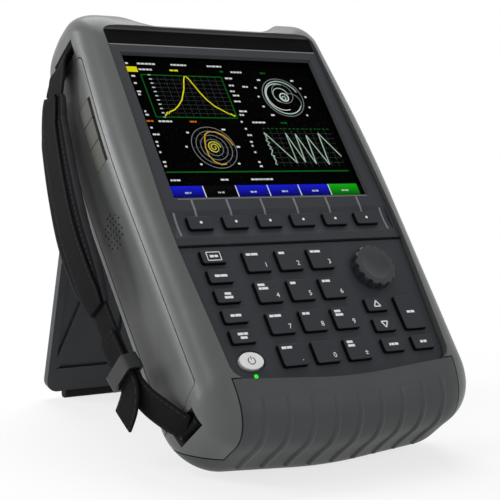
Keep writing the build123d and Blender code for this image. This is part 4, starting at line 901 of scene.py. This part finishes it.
# Hand strap. A row is a share of the way down, a distance out from the side, a distance behind the middle,
# a width and a thickness. An eye is a place, a width and a thickness.
HALF_WIDTH = 94.0
STRAP_TOP_Y = 68.0
STRAP_RUN = 243.52
STRAP_Z = -29.25
TOP_EYE = (-88.22, 68.0, -29.0, 24.0, 2.0)
LOW_EYE = (-88.79, -175.52, -30.25, 20.0, 2.0)
EYE_RADIUS = 2.5
EYE_HALF_WALL = 0.65
EYE_STEPS = 20
PAD_ROWS = (
    (0.086, 3.5, 8.8, 27.0, 3.6), (0.1, 4.0, 10.6, 29.6, 4.6), (0.15, 5.6, 15.4, 32.0, 5.2),
    (0.184, 7.0, 16.6, 34.0, 5.4), (0.317, 11.4, 17.6, 36.0, 5.8), (0.455, 15.2, 17.0, 36.0, 5.8),
    (0.576, 15.8, 16.0, 32.0, 5.4), (0.65, 14.7, 16.0, 22.0, 4.6), (0.664, 14.4, 16.0, 19.0, 3.4),
)
TOP_WEB_ROWS = ((0.025, -0.5, -0.5, 24.4, 2.0), (0.058, 1.9, 4.0, 26.0, 2.0), (0.085, 3.4, 8.6, 27.0, 2.0))
LOW_WEB_ROWS = (
    (0.655, 14.5, 16.0, 18.0, 2.0), (0.735, 13.2, 16.0, 18.0, 2.0), (0.827, 11.2, 15.0, 18.0, 2.0),
    (0.902, 7.2, 12.0, 19.0, 2.0), (0.972, 0.5, 4.0, 20.0, 2.0),
)
TAIL_ROWS = (
    (0.735, 15.8, 16.0, 17.6, 1.9), (0.827, 13.8, 15.0, 17.6, 1.9), (0.864, 12.5, 15.2, 17.6, 1.9),
    (0.891, 12.2, 21.0, 17.6, 1.9), (0.91, 12.0, 33.0, 17.6, 1.9),
)
ROW_STEPS = 8
PAD_POWER = 3.0
PAD_POINTS = 72
PAD_CROWN = 1.12
PAD_CROWN_FALL = 0.3
CHANNEL_WIDTH = 0.07
CHANNEL_DEPTH = 0.3
TAPE_POWER = 6.0
TAPE_POINTS = 24
COVER_LIFT = 0.4
COVER_WIDTH = 20.0
COVER_SHARE = 0.8
COVER_THICKNESS = 1.5
BINDING_SHARE = 0.95
BINDING_SECTION = (0.085, 0.72)
BINDING_POINTS = 14


def strap_rows(rows):
    """Rows as place, width and thickness in the face's frame."""
    return [
        (-HALF_WIDTH - out, STRAP_TOP_Y - share * STRAP_RUN, STRAP_Z - behind, width, thickness)
        for share, out, behind, width, thickness in rows
    ]


def between(part, before, start, end, after):
    """Value part of the way from start to end on a smooth run through four."""
    slope = (end - before) * part
    bend = (2 * before - 5 * start + 4 * end - after) * part ** 2
    twist = (3 * start - before - 3 * end + after) * part ** 3
    return start + (slope + bend + twist) / 2


def smooth_rows(rows):
    """Rows with more between them, on a smooth run through those given."""
    spread = [rows[0], *rows, rows[-1]]
    run = []
    for four in zip(spread, spread[1:], spread[2:], spread[3:]):
        for step in range(ROW_STEPS):
            run.append([between(step / ROW_STEPS, *values) for values in zip(*four)])
    return [*run, rows[-1]]


def section(power, count):
    """Points round a cross-section as shares across and out: an ellipse at power 2, squarer above it."""
    points = []
    for index in range(count):
        angle = math.tau * index / count
        turn = (math.cos(angle), math.sin(angle))
        points.append([math.copysign(abs(value) ** (2 / power), value) for value in turn])
    return points


def pad_section():
    """Crowned pad with a sewn channel near each edge of its outer face."""
    points = []
    for across, out in section(PAD_POWER, PAD_POINTS):
        channel = math.exp(-((abs(across) - CHANNEL_SHARE) / CHANNEL_WIDTH) ** 2)
        crown = PAD_CROWN - PAD_CROWN_FALL * across ** 2
        points.append((across, out * crown * (1 - CHANNEL_DEPTH * channel)))
    return points


def join_rings(form, chart, points, ring, after, lengths):
    """Faces between two rings of a cross-section, mapped by length and share across."""
    count = len(points)
    for side in range(count):
        beside = (side + 1) % count
        face = form.faces.new((ring[side], ring[beside], after[beside], after[side]))
        for loop, (end, spot) in zip(face.loops, ((0, side), (0, beside), (1, beside), (1, side))):
            loop[chart].uv = (lengths[end], points[spot][0])


def band(form, rows, points):
    """Adds a closed band of a cross-section along rows."""
    chart = form.loops.layers.uv.verify()
    length = 0.0
    rings = []
    for index, row in enumerate(rows):
        place = Vector(row[:3])
        ahead = Vector(rows[min(index + 1, len(rows) - 1)][:3])
        behind = Vector(rows[max(index - 1, 0)][:3])
        run = (ahead - behind).normalized()
        across = (Vector((0, 0, 1)) - run * run.z).normalized()
        out = run.cross(across)
        length += (place - behind).length
        ring = [place + across * (a * row[3] / 2) + out * (o * row[4] / 2) for a, o in points]
        rings.append((length, [form.verts.new(spot) for spot in ring]))
    for (start, ring), (end, after) in zip(rings, rings[1:]):
        join_rings(form, chart, points, ring, after, (start, end))
    form.faces.new(rings[0][1])
    form.faces.new(rings[-1][1])


def eye(form, row, points):
    """Adds the sewn eye at a webbing's end, round its bar."""
    chart = form.loops.layers.uv.verify()
    centre = Vector(row[:3]) + Vector((EYE_RADIUS, 0, 0))
    rings = []
    for step in range(EYE_STEPS):
        angle = math.tau * step / EYE_STEPS
        away = Vector((math.cos(angle), math.sin(angle), 0))
        ring = []
        for across, out in points:
            spot = centre + away * (EYE_RADIUS + out * EYE_HALF_WALL)
            ring.append(form.verts.new(spot + Vector((0, 0, across * row[3] / 2))))
        rings.append(ring)
    for index, ring in enumerate(rings):
        lengths = [EYE_RADIUS * math.tau * (index + end) / EYE_STEPS for end in (0, 1)]
        join_rings(form, chart, points, ring, rings[(index + 1) % EYE_STEPS], lengths)


def strap_piece(name, form, material):
    """Makes a smooth piece of the strap."""
    piece = close_form(name, form, material)
    piece.data.shade_smooth()
    return piece


def hand_strap():
    pad_run = smooth_rows(strap_rows(PAD_ROWS))
    tape = section(TAPE_POWER, TAPE_POINTS)
    form = bmesh.new()
    band(form, pad_run, pad_section())
    pad = strap_piece("strap_pad", form, pad_cloth)
    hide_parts("hand_strap_pad")

    form = bmesh.new()
    wide, thick = BINDING_SECTION
    ellipse = section(2.0, BINDING_POINTS)
    for side in (-1, 1):
        edging = [(side * BINDING_SHARE + across * wide, out * thick) for across, out in ellipse]
        band(form, pad_run, edging)
    strap_piece("strap_binding", form, binding_cloth)

    form = bmesh.new()
    cover = []
    for x, y, z, width, thickness in pad_run:
        lifted = x - thickness / 2 - COVER_LIFT
        cover.append((lifted, y, z, min(COVER_WIDTH, width * COVER_SHARE), COVER_THICKNESS))
    band(form, cover, tape)
    strap_piece("strap_cover", form, web_cloth)

    form = bmesh.new()
    band(form, smooth_rows([TOP_EYE, *strap_rows(TOP_WEB_ROWS)]), tape)
    band(form, smooth_rows([*strap_rows(LOW_WEB_ROWS), LOW_EYE]), tape)
    band(form, smooth_rows(strap_rows(TAIL_ROWS)), tape)
    eye(form, TOP_EYE, tape)
    eye(form, LOW_EYE, tape)
    webbing = strap_piece("strap_tapes", form, web_cloth)
    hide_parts("strap_webbing")


hand_strap()

# Floor, sky, lamps and camera
FLOOR_SIZE = 12.0
FLOOR_TONE = (0.95, 0.95, 0.95, 1.0)
FLOOR_GLOW = 0.74
FLOOR_FADE_START = 0.16
FLOOR_FADE_RUN = 0.35
WHITE = (1.0, 1.0, 1.0, 1.0)
SKY_LEVEL = 0.35
AIM = Vector((0.0, 0.0, 0.11))
FOCAL_PIXELS = 1432.97
IMAGE_PIXELS = 500
SENSOR = 36.0
CAMERA_SPOT = (-471.68, -431.91, 567.08)
CAMERA_RIGHT = (0.83268, -0.32509, 0.44829)
CAMERA_UP = (0.03756, 0.84084, 0.53998)


def seen_share(finish):
    """1 for rays from the camera and for those that mirror or pass through a surface."""
    path = finish.node("ShaderNodeLightPath", output="Is Camera Ray")
    mirrored = finish.node("ShaderNodeLightPath", output="Is Glossy Ray")
    passed = finish.node("ShaderNodeLightPath", output="Is Transmission Ray")
    return path.maths("MAXIMUM", path, mirrored.maths("MAXIMUM", mirrored, passed))


def floor():
    half = FLOOR_SIZE / 2
    corners = [(-half, -half, 0), (half, -half, 0), (half, half, 0), (-half, half, 0)]
    mesh = bpy.data.meshes.new("floor")
    mesh.from_pydata(corners, [], [(0, 1, 2, 3)])
    finish = Finish("floor white")
    x, y, _ = finish.axes("Object")
    away = x.maths("SQRT", x * x + y * y) - FLOOR_FADE_START
    fade = away.maths("MINIMUM", away.maths("MAXIMUM", away * (1 / FLOOR_FADE_RUN), 0.0), 1.0)
    matt = finish.node("ShaderNodeBsdfDiffuse", inputs={"Color": FLOOR_TONE})
    bright = finish.node("ShaderNodeEmission", inputs={"Color": WHITE, "Strength": 1.0})
    share = seen_share(finish) * (FLOOR_GLOW + fade * (1 - FLOOR_GLOW))
    cover = finish.node("ShaderNodeMixShader", inputs={0: share, 1: matt, 2: bright})
    mesh.materials.append(finish.close(cover))
    piece = bpy.data.objects.new("floor", mesh)
    bpy.context.scene.collection.objects.link(piece)


def sky():
    finish = Finish("studio", bpy.data.worlds, "ShaderNodeOutputWorld")
    strength = SKY_LEVEL + seen_share(finish) * (1 - SKY_LEVEL)
    shine = finish.node("ShaderNodeBackground", inputs={"Color": WHITE, "Strength": strength})
    bpy.context.scene.world = finish.close(shine)


def lamp(name, spot, size, power):
    light = bpy.data.lights.new(name, "AREA")
    light.shape = "RECTANGLE"
    light.size, light.size_y = size
    light.energy = power
    piece = bpy.data.objects.new(name, light)
    bpy.context.scene.collection.objects.link(piece)
    piece.location = spot
    piece.rotation_mode = "QUATERNION"
    piece.rotation_quaternion = (AIM - Vector(spot)).to_track_quat("-Z", "Y")


def camera():
    spot = FACE @ Vector(CAMERA_SPOT)
    right = FACE_TURN @ Vector(CAMERA_RIGHT)
    upward = FACE_TURN @ Vector(CAMERA_UP)
    data = bpy.data.cameras.new("camera")
    data.sensor_width = SENSOR
    data.lens = SENSOR * FOCAL_PIXELS / IMAGE_PIXELS
    data.clip_start = 0.01
    piece = bpy.data.objects.new("camera", data)
    bpy.context.scene.collection.objects.link(piece)
    turn = Matrix((right, upward, right.cross(upward))).transposed()
    piece.matrix_world = Matrix.Translation(spot) @ turn.to_4x4()
    bpy.context.scene.camera = piece


floor()
sky()
lamp("rail_lamp", (-1.2, -0.2, 1.25), (0.45, 0.45), 4.0)
lamp("side_lamp", (-1.3, 0.75, 0.5), (0.6, 0.6), 14.0)
lamp("top_lamp", (0.3, 0.7, 1.5), (1.2, 1.0), 16.0)
lamp("front_lamp", (0.6, -1.6, 1.0), (1.0, 0.8), 5.0)
camera()
bpy.context.scene.view_settings.view_transform = "Standard"
